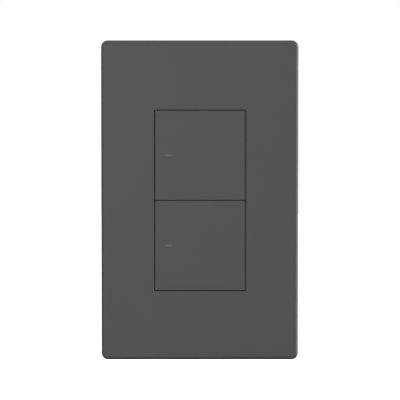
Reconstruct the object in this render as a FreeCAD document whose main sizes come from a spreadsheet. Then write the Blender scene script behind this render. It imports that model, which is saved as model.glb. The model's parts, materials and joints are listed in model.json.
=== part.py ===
import FreeCAD, Part
import math
import operator
import os
from types import SimpleNamespace

import Sketcher

# A flush rocker wall switch with two square keys, made as the separate pieces that it
# is assembled from. Lengths are millimetres. The origin is the middle of the cover
# plate on the wall's surface, +X is to the right as seen from the room, +Y goes into
# the wall and +Z is up. Angles are degrees.

V = FreeCAD.Vector
doc = FreeCAD.newDocument("RockerSwitch")
sheet = doc.addObject("Spreadsheet::Sheet", "Sizes")


# ---------------------------------------------------------------- sizes and expressions

class Size:
    """A length that carries its number and the sheet expression that drives it."""

    def __init__(self, number, text):
        self.number = number
        self.text = text

    def __neg__(self):
        return Size(-self.number, f"(-{self.text})")

    def __add__(self, other):
        return combined(self, "+", other)

    def __radd__(self, other):
        return combined(other, "+", self)

    def __sub__(self, other):
        return combined(self, "-", other)

    def __rsub__(self, other):
        return combined(other, "-", self)

    def __mul__(self, other):
        return combined(self, "*", other)

    def __rmul__(self, other):
        return combined(other, "*", self)

    def __truediv__(self, other):
        return combined(self, "/", other)


SIGNS = {"+": operator.add, "-": operator.sub, "*": operator.mul, "/": operator.truediv}


def sized(value):
    """Give a plain number the form of a Size."""
    return value if isinstance(value, Size) else Size(float(value), f"({value})")


def combined(first, sign, second):
    """Join two lengths by an arithmetic sign, both as numbers and as expressions."""
    first, second = sized(first), sized(second)
    number = SIGNS[sign](first.number, second.number)
    return Size(number, f"({first.text} {sign} {second.text})")


def sizes(family, **lengths):
    """Write a family of named lengths into the sheet and return them as Sizes."""
    group = SimpleNamespace()
    for name, length in lengths.items():
        alias = f"{family}_{name}"
        cell = f"A{len(sizes.cells) + 1}"
        sheet.set(cell, str(length))
        sheet.setAlias(cell, alias)
        sizes.cells.append(alias)
        setattr(group, name, Size(float(length), f"Sizes.{alias}"))
    return group


sizes.cells = []

# The cover plate and the opening that the keys sit in.
plate = sizes("plate", width=74.0, height=120.0, depth=6.6, corner=2.5, edge=1.2,
              wall=2.0, face=2.0, inner_corner=0.8)
opening = sizes("opening", width=34.6, height=68.1, shift=0.15, corner=0.5, edge=0.04)
collar = sizes("collar", wall=1.2, end=1.6)
ridge = sizes("ridge", width=8.0, proud=0.6, front=1.1, back=0.1, across=18.0)
standoff = sizes("standoff", radius=1.5, inset=9.0, spacing=45.0, gap=0.05)
notch = sizes("notch", width=8.0, depth=1.2)

# The inner plate that the cover snaps onto, and its two countersunk screws.
sub = sizes("sub", thick=1.8, gap=0.3, corner=1.5, access=4.2, slot=3.5, slot_near=12.0,
            slot_far=32.0, slot_inset=5.0)
cover_screw = sizes("cover_screw", spacing=96.84, radius=1.7, head=3.3, head_depth=1.4,
                    reach=4.0, fit=0.05, slot=0.8, slot_depth=0.6)

# The steel strap behind the cover, its tapped holes and its earth tab.
yoke = sizes("yoke", thick=1.2, neck=33.0, ear=42.0, ear_height=7.2, margin=4.8,
             corner=1.0, ear_corner=2.5, window_gap=0.4, break_radius=1.2,
             break_across=14.0)
box_screw = sizes("box_screw", spacing=83.34, radius=1.75, neck=1.5, neck_end=0.3,
                  reach=20.0, tip=1.5, tip_radius=0.6, head=3.4, head_depth=1.8,
                  head_round=0.8, slot_width=7.0, slot_height=4.2, cross=0.9,
                  cross_length=4.4, cross_depth=0.9)
retainer = sizes("retainer", gap=0.15, bore_gap=0.05, skin=0.05, corner=1.6)
tab = sizes("tab", low=46.0, high=38.0, reach=8.5)
earth = sizes("earth", radius=1.6, fit=0.05, head=3.2, head_depth=2.2, reach=4.5,
              depth=4.6, slot=0.9, slot_depth=0.8, edge=0.4)

# The two keys and how they hang on the frame.
key = sizes("key", gap=0.3, between=0.22, left_gap=0.34, right_gap=0.1, face=1.4,
            skirt=1.0, skirt_gap=1.4, edge=0.1, slope=1.1, slope_depth=0.3,
            frame_gap=0.31)
hinge = sizes("hinge", ear=1.5, ear_gap=0.3, ear_thick=1.6, pin=0.7, fit=0.06,
              pin_short=0.15, lug=1.4, lug_skin=0.3)
boss = sizes("boss", radius=1.2, tip=0.6, tip_length=0.75, gap=0.05)
arm = sizes("arm", inset=2.5, thick=1.0, width=4.0, offset=9.0, barb=0.9, barb_gap=0.1,
            barb_depth=0.9, slot_gap=0.4, slot_play=0.6)
rib = sizes("rib", thick=0.8, depth=0.8, offset=4.5, stop=3.0)
light = sizes("light", width=2.55, height=0.7, inset=3.7, fit=0.03, flange=0.75,
              flange_depth=0.8, short=0.3, rod_trim=0.15)

# The moulded frame that carries the keys.
frame = sizes("frame", thick=1.5, wall=1.1, ledge=4.5, lip=1.5, flange=1.6,
              chimney=0.7, chimney_gap=0.35, chimney_rise=0.6, post=1.2, peg=0.7,
              peg_gap=0.1, post_height=1.0, post_inset=2.8, peg_end=0.6, tact_gap=0.4)
cup = sizes("cup", inset=7.5, offset=8.5, bore=2.2, wall=0.6, floor=0.8)
spring = sizes("spring", coil=1.6, wire=0.15, turns=7.0, gap=0.02, peg=1.1,
               peg_length=1.0)

# The push switches, the indicator lights and the board that carries them.
tact = sizes("tact", side=6.0, height=3.5, plunger=1.65, bore_gap=0.08, stroke=1.5,
             sunk=0.5, well=1.3, foot=1.0, foot_height=0.3, foot_width=0.7,
             foot_offset=2.0)
led = sizes("led", width=2.0, height=0.7, depth=1.25)
board = sizes("board", thick=1.2, inset=1.0, gap=0.6, corner=1.0)

# The rear housing, its columns and its long screws.
house = sizes("house", gap=0.2, wall=1.8, depth=34.4, corner=3.0, strap_gap=0.3,
              strap_end_gap=0.55)
column = sizes("column", radius=2.6, inset=2.2, gap=0.1)
house_screw = sizes("house_screw", radius=1.2, fit=0.05, sleeve=0.1, head=2.3,
                    head_depth=1.6, sink=2.0, sink_gap=0.2, short=0.1, cross=0.7,
                    cross_length=2.8, cross_depth=0.8)
support = sizes("support", height=2.0, offset=20.0, board_lap=1.0, sheet_lap=0.7)

# The mains side: partition, power board and what it carries.
sheet_wall = sizes("partition", front=8.0, thick=1.2, gap=0.2, column_gap=0.3,
                   slot_width=3.6, slot_height=14.4)
power = sizes("power", front=16.6, thick=1.6)
header = sizes("header", clear=0.5, drop=8.0, pins=5, pitch=2.54, pin=0.32, base=1.25,
               base_depth=2.5, socket_depth=3.6, socket_floor=0.8, pin_gap=0.15,
               pin_clear=0.4)
relay = sizes("relay", width=19.0, height=11.0, depth=12.4, inset=1.2, edge=0.6,
              skirt=0.5, skirt_depth=1.0)
coil_box = sizes("transformer", core_width=15.8, core_height=17.2, core_depth=5.0,
                 leg=4.4, window=3.4, window_height=12.8, rise=6.3, tube_gap=0.2,
                 tube_wall=0.8, flange=0.6, flange_height=6.0, flange_gap=0.2,
                 winding_trim=0.2, winding_round=0.6, foot=1.3)
block = sizes("block", width=9.4, height=12.0, offset=9.5, gap=0.1, wall=1.0,
              back=4.0, floor=1.4, edge=0.4, relief_gap=0.4)
wire = sizes("wire", bore=1.5, offset=3.4)
clamp = sizes("clamp", contact=1.2, plate=1.2, gap=3.7, end_gap=0.3, screw=1.75,
              screw_gap=0.1, head=2.9, head_depth=1.5, screw_forward=6.0, tail=1.6,
              tail_through=0.6, tail_gap=0.2, tip=1.0, slot=0.8, slot_depth=0.9)

# Sizes and places that follow from the ones above, with their signs.
front = -plate.depth
plate_back = front + plate.face
yoke_front = -yoke.thick
sub_front = yoke_front - sub.thick
key_back = front + key.face
platform_front = key_back + hinge.ear_gap + 2 * hinge.ear
platform_back = platform_front + frame.thick
skirt_end = platform_front - key.skirt_gap
hinge_y = platform_front - hinge.ear

opening_left = opening.shift - opening.width / 2
opening_right = opening.shift + opening.width / 2
key_left = opening_left + key.left_gap
key_right = opening_right - key.right_gap
key_z = opening.height / 2 - key.gap
key_low = key.between / 2
key_middle = (key_low + key_z) / 2
platform_x = -key_left - key.skirt - key.frame_gap
platform_z = key_z - key.skirt - key.gap
window_x = platform_x + yoke.window_gap
window_z = platform_z + yoke.window_gap
hinge_x = platform_x - hinge.ear
light_x = light.inset - platform_x
cup_x = cup.inset - platform_x

flange_x = platform_x + frame.ledge
flange_z = platform_z + frame.lip
inner_x = flange_x + house.gap
inner_z = flange_z + house.gap
house_x = inner_x + house.wall
house_z = inner_z + house.wall
house_back = house.depth - house.wall
strap_x = house_x + house.strap_gap
strap_z = house_z + house.strap_end_gap
yoke_z = plate.height / 2 - plate.wall - yoke.margin
column_x = inner_x - column.inset
column_z = inner_z - column.inset

board_front = frame.flange + frame.post_height
board_back = board_front + board.thick
board_x = flange_x - board.inset
board_z = column_z - column.radius - board.gap
power_back = power.front + power.thick
partition_back = sheet_wall.front + sheet_wall.thick
tact_front = board_front - tact.height
plunger_front = tact_front - tact.stroke
block_inner = house_x - block.width
contact_inner = block_inner + block.floor
contact_outer = contact_inner + clamp.contact
header_x = contact_inner - header.clear - header.base
header_z = header.drop - board_z
header_half = header.pins * header.pitch / 2


# ---------------------------------------------------------------- building features

PIECES = []
ROLES = {"X": "YZ_Plane", "Y": "XZ_Plane", "Z": "XY_Plane"}
TURNS = {"X": (V(0, 1, 0), 90), "Y": (V(1, 0, 0), -90), "Z": (V(0, 0, 1), 0)}
NEAR = 0.01


def ordered(side, low, high):
    """A span on one side of the middle: side is 1 or -1."""
    return (low, high) if side > 0 else (-high, -low)


def about(middle, half):
    """A span centred on a place."""
    return (middle - half, middle + half)


def toward(start, length, way):
    """A span that starts at a place and runs one way: way is 1 or -1."""
    return (start, start + length) if way > 0 else (start - length, start)


def flat(axis, level):
    """Choose edges that lie wholly at one level of an axis."""
    def chosen(box):
        low, high = getattr(box, axis + "Min"), getattr(box, axis + "Max")
        return abs(low - level.number) < NEAR and abs(high - level.number) < NEAR
    return chosen


def along(axis):
    """Choose straight edges that run parallel to an axis."""
    others = [name for name in "XYZ" if name != axis]

    def chosen(box):
        return all(getattr(box, name + "Length") < NEAR for name in others)
    return chosen


def within(axis, low, high):
    """Choose edges that stay between two levels of an axis."""
    def chosen(box):
        above = getattr(box, axis + "Min") > low.number - NEAR
        return above and getattr(box, axis + "Max") < high.number + NEAR
    return chosen


class Piece:
    """One part of the switch, grown feature by feature in its own body."""

    def __init__(self, label):
        self.body = doc.addObject("PartDesign::Body", label)
        self.body.Label = label
        self.body.AllowCompound = True
        PIECES.append(self.body)

    def drive(self, thing, **lengths):
        """Bind properties of a feature to lengths; double underscores stand for dots."""
        for name, length in lengths.items():
            thing.setExpression(name.replace("__", "."), sized(length).text)

    def solid(self, kind, cut, turn="Z"):
        """Add or take away one of PartDesign's basic solids."""
        way = "Subtractive" if cut else "Additive"
        feature = self.body.newObject(f"PartDesign::{way}{kind}", kind)
        axis, angle = TURNS[turn]
        feature.Placement = FreeCAD.Placement(V(0, 0, 0), FreeCAD.Rotation(axis, angle))
        return feature

    def place(self, thing, x, y, z):
        self.drive(thing, Placement__Base__x=x, Placement__Base__y=y,
                   Placement__Base__z=z)

    def box(self, x, y, z, cut=False):
        """A block between two levels on each axis."""
        block_ = self.solid("Box", cut)
        self.drive(block_, Length=sized(x[1]) - x[0], Width=sized(y[1]) - y[0],
                   Height=sized(z[1]) - z[0])
        self.place(block_, x[0], y[0], z[0])

    def rod(self, axis, span, centre, radius, cut=False, end_radius=None):
        """A round bar or hole along an axis; end_radius makes it a cone."""
        shaft = self.solid("Cylinder" if end_radius is None else "Cone", cut, axis)
        if end_radius is None:
            self.drive(shaft, Radius=radius)
        else:
            self.drive(shaft, Radius1=radius, Radius2=end_radius)
        self.drive(shaft, Height=sized(span[1]) - span[0])
        where = list(centre)
        where.insert("XYZ".index(axis), span[0])
        self.place(shaft, *where)

    def sketch(self, axis, level):
        """A sketch on the body's own plane across an axis, moved to a level on it."""
        planes = self.body.Origin.OriginFeatures
        plane = next(item for item in planes if item.Role == ROLES[axis])
        drawing = self.body.newObject("Sketcher::SketchObject", "Outline")
        drawing.AttachmentSupport = [(plane, "")]
        drawing.MapMode = "FlatFace"
        sign = -1 if axis == "Y" else 1
        self.drive(drawing, AttachmentOffset__Base__z=sign * sized(level))
        return drawing

    def slab(self, width, height, y, corner, cut=False, middle=(0, 0)):
        """A rounded rectangle that faces the room, between two levels on Y."""
        drawing = self.sketch("Y", y[1])
        self.drive(drawing, AttachmentOffset__Base__x=middle[0],
                   AttachmentOffset__Base__y=middle[1])
        rounded_outline(drawing, sized(width), sized(height), sized(corner))
        kind = "PartDesign::Pocket" if cut else "PartDesign::Pad"
        feature = self.body.newObject(kind, "Slab")
        feature.Profile = drawing
        feature.Reversed = cut
        self.drive(feature, Length=sized(y[1]) - y[0])
        doc.recompute()

    def edges(self, *tests):
        """Names of the edges that pass every test."""
        doc.recompute()
        shape = self.body.Tip.Shape
        return [f"Edge{number + 1}" for number, edge in enumerate(shape.Edges)
                if all(test(edge.BoundBox) for test in tests)]

    def soften(self, kind, radius, *tests):
        """Round or bevel the chosen edges."""
        names = self.edges(*tests)
        base = self.body.Tip
        feature = self.body.newObject(f"PartDesign::{kind}", kind)
        feature.Base = (base, names)
        self.drive(feature, **{"Radius" if kind == "Fillet" else "Size": radius})
        doc.recompute()

    def bevel(self, width, depth, *tests):
        """Bevel the chosen edges by a width across the front face and a depth behind."""
        names = self.edges(*tests)
        base = self.body.Tip
        feature = self.body.newObject("PartDesign::Chamfer", "Bevel")
        feature.Base = (base, names)
        feature.ChamferType = "Two distances"
        self.drive(feature, Size=depth, Size2=width)
        doc.recompute()

    def mirror(self, count, role):
        """Repeat the last features on the other side of one of the body's planes."""
        features = [item for item in self.body.Group if item.isDerivedFrom(
            "PartDesign::FeatureAddSub")][-count:]
        copy = self.body.newObject("PartDesign::Mirrored", "Mirrored")
        copy.Originals = features
        plane = next(item for item in self.body.Origin.OriginFeatures
                     if item.Role == role)
        copy.MirrorPlane = (plane, [""])
        self.body.Tip = copy
        doc.recompute()

    def screw_slot(self, axis, face, centre, half, length, depth):
        """Cut a driver slot into a head's face; a negative depth cuts toward -axis."""
        spans = [about(sized(middle), size) for middle, size in
                 zip(centre, (half, length))]
        level = (face, face + depth) if depth.number > 0 else (face + depth, face)
        spans.insert("XYZ".index(axis), level)
        self.box(*spans, cut=True)


def rounded_outline(drawing, width, height, corner):
    """Draw a rounded rectangle about the sketch's origin, held by its three sizes."""
    half_w, half_h, r = width.number / 2, height.number / 2, corner.number
    corners = [(half_w, -half_h), (half_w, half_h), (-half_w, half_h), (-half_w, -half_h)]
    turns = [(-1, 1), (-1, -1), (1, -1), (1, 1)]
    lines, arcs = [], []
    for step, ((x, z), (dx, dz)) in enumerate(zip(corners, turns)):
        last_x, last_z = corners[step - 1]
        last_dx, last_dz = turns[step - 1]
        across = step % 2 == 0
        start = V(last_x + (last_dx * r if across else 0),
                  last_z + (0 if across else last_dz * r), 0)
        end = V(x + (dx * r if across else 0), z + (0 if across else dz * r), 0)
        lines.append(drawing.addGeometry(Part.LineSegment(start, end), False))
        middle = V(x + dx * r, z + dz * r, 0)
        ring = Part.Circle(middle, V(0, 0, 1), r)
        begin = math.radians(90 * step - 90)
        arc = Part.ArcOfCircle(ring, begin, begin + math.pi / 2)
        arcs.append(drawing.addGeometry(arc, False))
    rule = Sketcher.Constraint
    for step in range(4):
        drawing.addConstraint(rule("Tangent", lines[step], 2, arcs[step], 1))
        drawing.addConstraint(rule("Tangent", arcs[step], 2, lines[(step + 1) % 4], 1))
        way = "Horizontal" if step % 2 == 0 else "Vertical"
        drawing.addConstraint(rule(way, lines[step]))
    for other in arcs[1:]:
        drawing.addConstraint(rule("Equal", arcs[0], other))
    bottom, right, top, left = lines
    drawing.addConstraint(rule("Symmetric", arcs[0], 3, arcs[2], 3, -1, 1))
    held = {
        "Radius": (rule("Radius", arcs[0], r), corner),
        "Across": (rule("DistanceX", left, 1, right, 1, 2 * half_w), width),
        "Up": (rule("DistanceY", bottom, 1, top, 1, 2 * half_h), height),
    }
    for name, (limit, length) in held.items():
        number = drawing.addConstraint(limit)
        drawing.renameConstraint(number, name)
        drawing.setExpression(f"Constraints.{name}", length.text)


# ---------------------------------------------------------------- cover and strap

def make_wall_plate():
    """The screwless cover: a shallow open-backed tray with a collar round the keys."""
    piece = Piece("wall_plate")
    piece.slab(plate.width, plate.height, (front, 0), plate.corner)
    piece.soften("Fillet", plate.edge, flat("Y", front))
    piece.slab(plate.width - 2 * plate.wall, plate.height - 2 * plate.wall,
               (plate_back, 0), plate.inner_corner, cut=True)
    middle = (opening.shift, 0)
    piece.slab(opening.width + 2 * collar.wall, opening.height + 2 * collar.wall,
               (plate_back, -collar.end), opening.corner + collar.wall, middle=middle)
    piece.slab(opening.width, opening.height, (front, -collar.end), opening.corner,
               cut=True, middle=middle)
    piece.soften("Fillet", opening.edge, flat("Y", front),
                 within("X", opening_left, opening_right))
    inner_top = plate.height / 2 - plate.wall
    for across in (-1, 1):
        piece.box(about(across * ridge.across, ridge.width / 2),
                  (-ridge.front, -ridge.back), (inner_top - ridge.proud, inner_top))
    piece.mirror(2, "XY_Plane")
    standoff_x = plate.width / 2 - standoff.inset
    for across in (-1, 1):
        for up in (-1, 0, 1):
            piece.rod("Y", (plate_back, sub_front - standoff.gap),
                      (across * standoff_x, up * standoff.spacing), standoff.radius)
    piece.box(about(sized(0), notch.width / 2), (-notch.depth, 0),
              (-plate.height / 2, -inner_top), cut=True)


def make_sub_plate():
    """The inner plate that is screwed to the strap and holds the cover."""
    piece = Piece("sub_plate")
    width = plate.width - 2 * plate.wall - 2 * sub.gap
    height = plate.height - 2 * plate.wall - 2 * sub.gap
    piece.slab(width, height, (sub_front, yoke_front), sub.corner)
    room = 2 * (collar.wall + sub.gap)
    piece.slab(opening.width + room, opening.height + room, (sub_front, yoke_front),
               opening.corner + collar.wall + sub.gap, cut=True,
               middle=(opening.shift, 0))
    slot_x = width / 2 - sub.slot_inset - sub.slot / 2
    for up in (-1, 1):
        place = (0, up * cover_screw.spacing / 2)
        piece.rod("Y", (sub_front, yoke_front), place,
                  cover_screw.radius + cover_screw.fit, cut=True)
        piece.rod("Y", (sub_front, sub_front + cover_screw.head_depth), place,
                  cover_screw.head + cover_screw.fit, cut=True,
                  end_radius=cover_screw.radius + cover_screw.fit)
        piece.rod("Y", (sub_front, yoke_front), (0, up * box_screw.spacing / 2),
                  sub.access, cut=True)
        for across in (-1, 1):
            piece.box(about(across * slot_x, sub.slot / 2), (sub_front, yoke_front),
                      ordered(up, sub.slot_near, sub.slot_far), cut=True)


def make_plate_screws():
    """Two countersunk screws that hold the inner plate to the strap."""
    piece = Piece("plate_screws")
    for up in (-1, 1):
        place = (0, up * cover_screw.spacing / 2)
        shoulder = sub_front + cover_screw.head_depth
        piece.rod("Y", (sub_front, shoulder), place, cover_screw.head,
                  end_radius=cover_screw.radius)
        piece.rod("Y", (shoulder, cover_screw.reach), place, cover_screw.radius)
        piece.screw_slot("Y", sub_front, place, cover_screw.head,
                         cover_screw.slot / 2, cover_screw.slot_depth)


def make_yoke():
    """The steel strap: a frame round the keys with an ear at each end."""
    piece = Piece("yoke")
    thickness = (yoke_front, 0)
    piece.slab(2 * strap_x, 2 * strap_z, thickness, yoke.corner)
    piece.slab(yoke.neck, 2 * yoke_z, thickness, yoke.corner)
    ear_middle = yoke_z - yoke.ear_height / 2
    for up in (-1, 1):
        piece.slab(yoke.ear, yoke.ear_height, thickness, yoke.ear_corner,
                   middle=(0, up * ear_middle))
    piece.box((-window_x, window_x), thickness, (-window_z, window_z), cut=True)
    for up in (-1, 1):
        piece.slab(box_screw.slot_width, box_screw.slot_height, thickness,
                   retainer.corner + retainer.gap, cut=True,
                   middle=(0, up * box_screw.spacing / 2))
        piece.rod("Y", thickness, (0, up * cover_screw.spacing / 2),
                  cover_screw.radius + cover_screw.fit, cut=True)
        for across in (-1, 1):
            piece.rod("Y", thickness, (across * yoke.break_across, up * yoke_z),
                      yoke.break_radius, cut=True)
            piece.rod("Y", thickness, (across * column_x, up * column_z),
                      house_screw.radius + house_screw.fit, cut=True)
    tab_x = (yoke.neck / 2 - yoke.thick, yoke.neck / 2)
    piece.box(tab_x, (yoke_front, tab.reach), (-tab.low, -tab.high))
    piece.rod("X", tab_x, (earth.depth, -(tab.low + tab.high) / 2),
              earth.radius + earth.fit, cut=True)


def make_ground_screw():
    """The earth screw in the strap's bent tab."""
    piece = Piece("ground_screw")
    face = yoke.neck / 2
    place = (earth.depth, -(tab.low + tab.high) / 2)
    piece.rod("X", (face - yoke.thick - earth.reach, face), place, earth.radius)
    piece.rod("X", (face, face + earth.head_depth), place, earth.head)
    piece.soften("Chamfer", earth.edge, flat("X", face + earth.head_depth))
    piece.screw_slot("X", face + earth.head_depth, place, earth.slot / 2, earth.head,
                     -earth.slot_depth)


def make_mounting_screws():
    """Two screws that fix the strap to the wall box."""
    piece = Piece("mounting_screws")
    for up in (-1, 1):
        place = (0, up * box_screw.spacing / 2)
        face = yoke_front - box_screw.head_depth
        piece.rod("Y", (face, yoke_front), place, box_screw.head)
        piece.rod("Y", (yoke_front, box_screw.neck_end), place, box_screw.neck)
        piece.rod("Y", (box_screw.neck_end, box_screw.reach), place, box_screw.radius)
        piece.rod("Y", (box_screw.reach, box_screw.reach + box_screw.tip), place,
                  box_screw.radius, end_radius=box_screw.tip_radius)
    piece.soften("Fillet", box_screw.head_round, flat("Y", face))
    for up in (-1, 1):
        place = (0, up * box_screw.spacing / 2)
        for half in ((box_screw.cross / 2, box_screw.cross_length / 2),
                     (box_screw.cross_length / 2, box_screw.cross / 2)):
            piece.screw_slot("Y", face, place, *half, box_screw.cross_depth)


def make_screw_retainers():
    """Two soft inserts that keep the mounting screws in the strap's slots."""
    piece = Piece("screw_retainers")
    for up in (-1, 1):
        place = (0, up * box_screw.spacing / 2)
        depth = (yoke_front + retainer.skin, -retainer.skin)
        piece.slab(box_screw.slot_width - 2 * retainer.gap,
                   box_screw.slot_height - 2 * retainer.gap, depth, retainer.corner,
                   middle=place)
        piece.rod("Y", depth, place, box_screw.neck + retainer.bore_gap, cut=True)


# ---------------------------------------------------------------- keys and their frame

SIDES = {"upper": 1, "lower": -1}
SPOTS = {"top": 1, "bottom": -1}


def ear_spans(side):
    """The spans on Z of one key's two hinge ears, the one by the middle first."""
    low = key_low + key.skirt + key.gap
    return (ordered(side, low, low + hinge.ear_thick),
            ordered(side, platform_z - hinge.ear_thick, platform_z))


def make_button_frame():
    """The moulded frame: platform, hinge ears, spring cups, light chimneys, flange."""
    piece = Piece("button_frame")
    piece.box((-platform_x, platform_x), (platform_front, frame.flange),
              (-platform_z, platform_z))
    piece.slab(2 * flange_x, 2 * flange_z, (0, frame.flange), house.corner - house.wall)
    room_x, room_z = platform_x - frame.wall, platform_z - frame.wall
    piece.box((-room_x, room_x), (platform_back, frame.flange), (-room_z, room_z),
              cut=True)
    chimney_half = light.width / 2 + frame.chimney_gap
    chimney_height = light.height / 2 + frame.chimney_rise
    for side in SIDES.values():
        middle = side * key_middle
        slot = tact.side / 2 + frame.tact_gap
        for span in ear_spans(side):
            piece.rod("Z", span, (hinge_x, hinge_y), hinge.ear)
            piece.box(about(hinge_x, hinge.ear), (hinge_y, platform_front), span)
        piece.box(about(light_x, chimney_half + frame.chimney),
                  (platform_front, frame.flange),
                  about(middle, chimney_height + frame.chimney))
        for up in SPOTS.values():
            spot = (cup_x, middle + up * cup.offset)
            piece.rod("Y", (platform_front, cup.floor), spot, cup.bore + cup.wall)
            piece.rod("Y", (platform_front, 0), spot, cup.bore, cut=True)
            arm_middle = middle + up * arm.offset
            outer = -(platform_x - arm.inset)
            piece.box((outer - arm.slot_gap, outer + arm.thick + arm.slot_play),
                      (platform_front, platform_back),
                      about(arm_middle, arm.width / 2 + arm.slot_gap), cut=True)
        piece.box(about(light_x, chimney_half), (platform_front, frame.flange),
                  about(middle, chimney_height), cut=True)
        piece.box((-slot, slot), (platform_front, platform_back), about(middle, slot),
                  cut=True)
        for span in ear_spans(side):
            piece.rod("Z", span, (hinge_x, hinge_y), hinge.pin + hinge.fit, cut=True)
    post_x = flange_x - frame.post_inset
    post_z = board_z - frame.post_inset
    for across in (-1, 1):
        for up in (-1, 1):
            piece.rod("Y", (frame.flange, board_front), (across * post_x, up * post_z),
                      frame.post)
            piece.rod("Y", (board_front, board_back + frame.peg_end),
                      (across * post_x, up * post_z), frame.peg)
            piece.rod("Y", (0, frame.flange), (across * column_x, up * column_z),
                      house_screw.radius + house_screw.sleeve, cut=True)


def make_button(name, side):
    """One key: a hollow square cap with hinge pins, stops and a pushing boss."""
    piece = Piece(f"button_{name}")
    middle = side * key_middle
    whole = ordered(side, key_low, key_z)
    piece.box((key_left, key_right), (front, skirt_end), whole)
    piece.bevel(key.slope, key.slope_depth, along("Z"), flat("X", key_right),
                flat("Y", front))
    rims = (flat("X", key_left), flat("Z", whole[0]), flat("Z", whole[1]))
    piece.soften("Fillet", key.edge, lambda box: along("Y")(box) or (
        any(rim(box) for rim in rims) and not flat("Y", skirt_end)(box)))
    inside = (whole[0] + key.skirt, whole[1] - key.skirt)
    piece.box((key_left + key.skirt, key_right - key.skirt), (key_back, skirt_end),
              inside, cut=True)
    pin_length = key.gap + hinge.ear_thick - hinge.pin_short
    for wall, way in zip(inside, (1, -1)):
        piece.box(about(hinge_x, hinge.lug),
                  (key_back, hinge_y + hinge.pin + hinge.lug_skin),
                  toward(wall, key.skirt, -way))
        piece.rod("Z", toward(wall, pin_length, way), (hinge_x, hinge_y), hinge.pin)
    boss_end = plunger_front - boss.gap
    shoulder = boss_end - boss.tip_length
    piece.rod("Y", (key_back, shoulder), (0, middle), boss.radius)
    piece.rod("Y", (shoulder, boss_end), (0, middle), boss.radius, end_radius=boss.tip)
    outer = -(platform_x - arm.inset)
    barb_front = platform_back + arm.barb_gap
    barb_end = barb_front + arm.barb_depth
    for up in SPOTS.values():
        arm_z = about(middle + up * arm.offset, arm.width / 2)
        piece.box((outer, outer + arm.thick), (key_back, barb_end), arm_z)
        piece.box((outer - arm.barb, outer), (barb_front, barb_end), arm_z)
        piece.rod("Y", (key_back, key_back + spring.peg_length),
                  (cup_x, middle + up * cup.offset), spring.peg)
        piece.box((outer + arm.thick + rib.stop, hinge_x - rib.stop),
                  (key_back, key_back + rib.depth),
                  about(middle + up * rib.offset, rib.thick / 2))
    piece.box(about(light_x, light.width / 2 + light.fit), (front, key_back),
              about(middle, light.height / 2 + light.fit), cut=True)


def make_light_pipe(name, side):
    """The clear bar that brings the indicator light to the face of a key."""
    piece = Piece(f"light_pipe_{name}")
    middle = side * key_middle
    half_x, half_z = light.width / 2, light.height / 2
    piece.box(about(light_x, half_x), (front, key_back), about(middle, half_z))
    piece.box(about(light_x, half_x + light.flange),
              (key_back, key_back + light.flange_depth),
              about(middle, half_z + light.flange))
    piece.box(about(light_x, half_x - light.rod_trim),
              (key_back + light.flange_depth, platform_front - light.short),
              about(middle, half_z - light.rod_trim))


def make_return_spring(name, side, spot, up):
    """One coil spring between a cup of the frame and the back of a key."""
    piece = Piece(f"return_spring_{name}_{spot}")
    drawing = piece.sketch("Z", side * key_middle + up * cup.offset)
    start = -(spring.wire + spring.gap)
    piece.drive(drawing, AttachmentOffset__Base__x=cup_x,
                AttachmentOffset__Base__y=start)
    ring = Part.Circle(V(spring.coil.number, 0, 0), V(0, 0, 1), spring.wire.number)
    circle = drawing.addGeometry(ring, False)
    rule = Sketcher.Constraint
    drawing.addConstraint(rule("PointOnObject", circle, 3, -1))
    for name_, limit, length in (
            ("Coil", rule("DistanceX", -1, 1, circle, 3, spring.coil.number),
             spring.coil),
            ("Wire", rule("Radius", circle, spring.wire.number), spring.wire)):
        number = drawing.addConstraint(limit)
        drawing.renameConstraint(number, name_)
        drawing.setExpression(f"Constraints.{name_}", length.text)
    coil = piece.body.newObject("PartDesign::AdditiveHelix", "Coil")
    coil.Profile = drawing
    coil.ReferenceAxis = (drawing, ["V_Axis"])
    coil.Mode = "height-turns-angle"
    coil.Reversed = True
    piece.drive(coil, Height=start - key_back - spring.wire - spring.gap,
                Turns=spring.turns)
    doc.recompute()


def make_tact_switch(name, side):
    """The body of a push switch with its four soldered feet."""
    piece = Piece(f"tact_switch_{name}")
    middle = side * key_middle
    half = tact.side / 2
    piece.box((-half, half), (tact_front, board_front), about(middle, half))
    piece.rod("Y", (tact_front, tact_front + tact.well), (0, middle),
              tact.plunger + tact.bore_gap, cut=True)
    for across in (-1, 1):
        for up in (-1, 1):
            piece.box(ordered(across, half, half + tact.foot),
                      (board_front - tact.foot_height, board_front),
                      about(middle + up * tact.foot_offset, tact.foot_width / 2))


def make_tact_plunger(name, side):
    """The moving button of a push switch."""
    piece = Piece(f"tact_plunger_{name}")
    piece.rod("Y", (plunger_front, tact_front + tact.sunk), (0, side * key_middle),
              tact.plunger)


# ---------------------------------------------------------------- control board

def make_status_led(name, side):
    """The small indicator light behind a key."""
    piece = Piece(f"status_led_{name}")
    middle = side * key_middle
    piece.box(about(light_x, led.width / 2), (board_front - led.height, board_front),
              about(middle, led.depth / 2))


def make_control_board():
    """The low-voltage board, staked to the frame's four pegs."""
    piece = Piece("control_board")
    piece.slab(2 * board_x, 2 * board_z, (board_front, board_back), board.corner)
    post_x = flange_x - frame.post_inset
    post_z = board_z - frame.post_inset
    for across in (-1, 1):
        for up in (-1, 1):
            piece.rod("Y", (board_front, board_back), (across * post_x, up * post_z),
                      frame.peg + frame.peg_gap, cut=True)


def chip(name, width, height, depth, middle, seat, way=1):
    """A box-shaped component that stands on a board and rises along +Y or -Y."""
    piece = Piece(name)
    piece.box(about(sized(middle[0]), width / 2), toward(seat, depth, way),
              about(sized(middle[1]), height / 2))
    return piece


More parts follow.
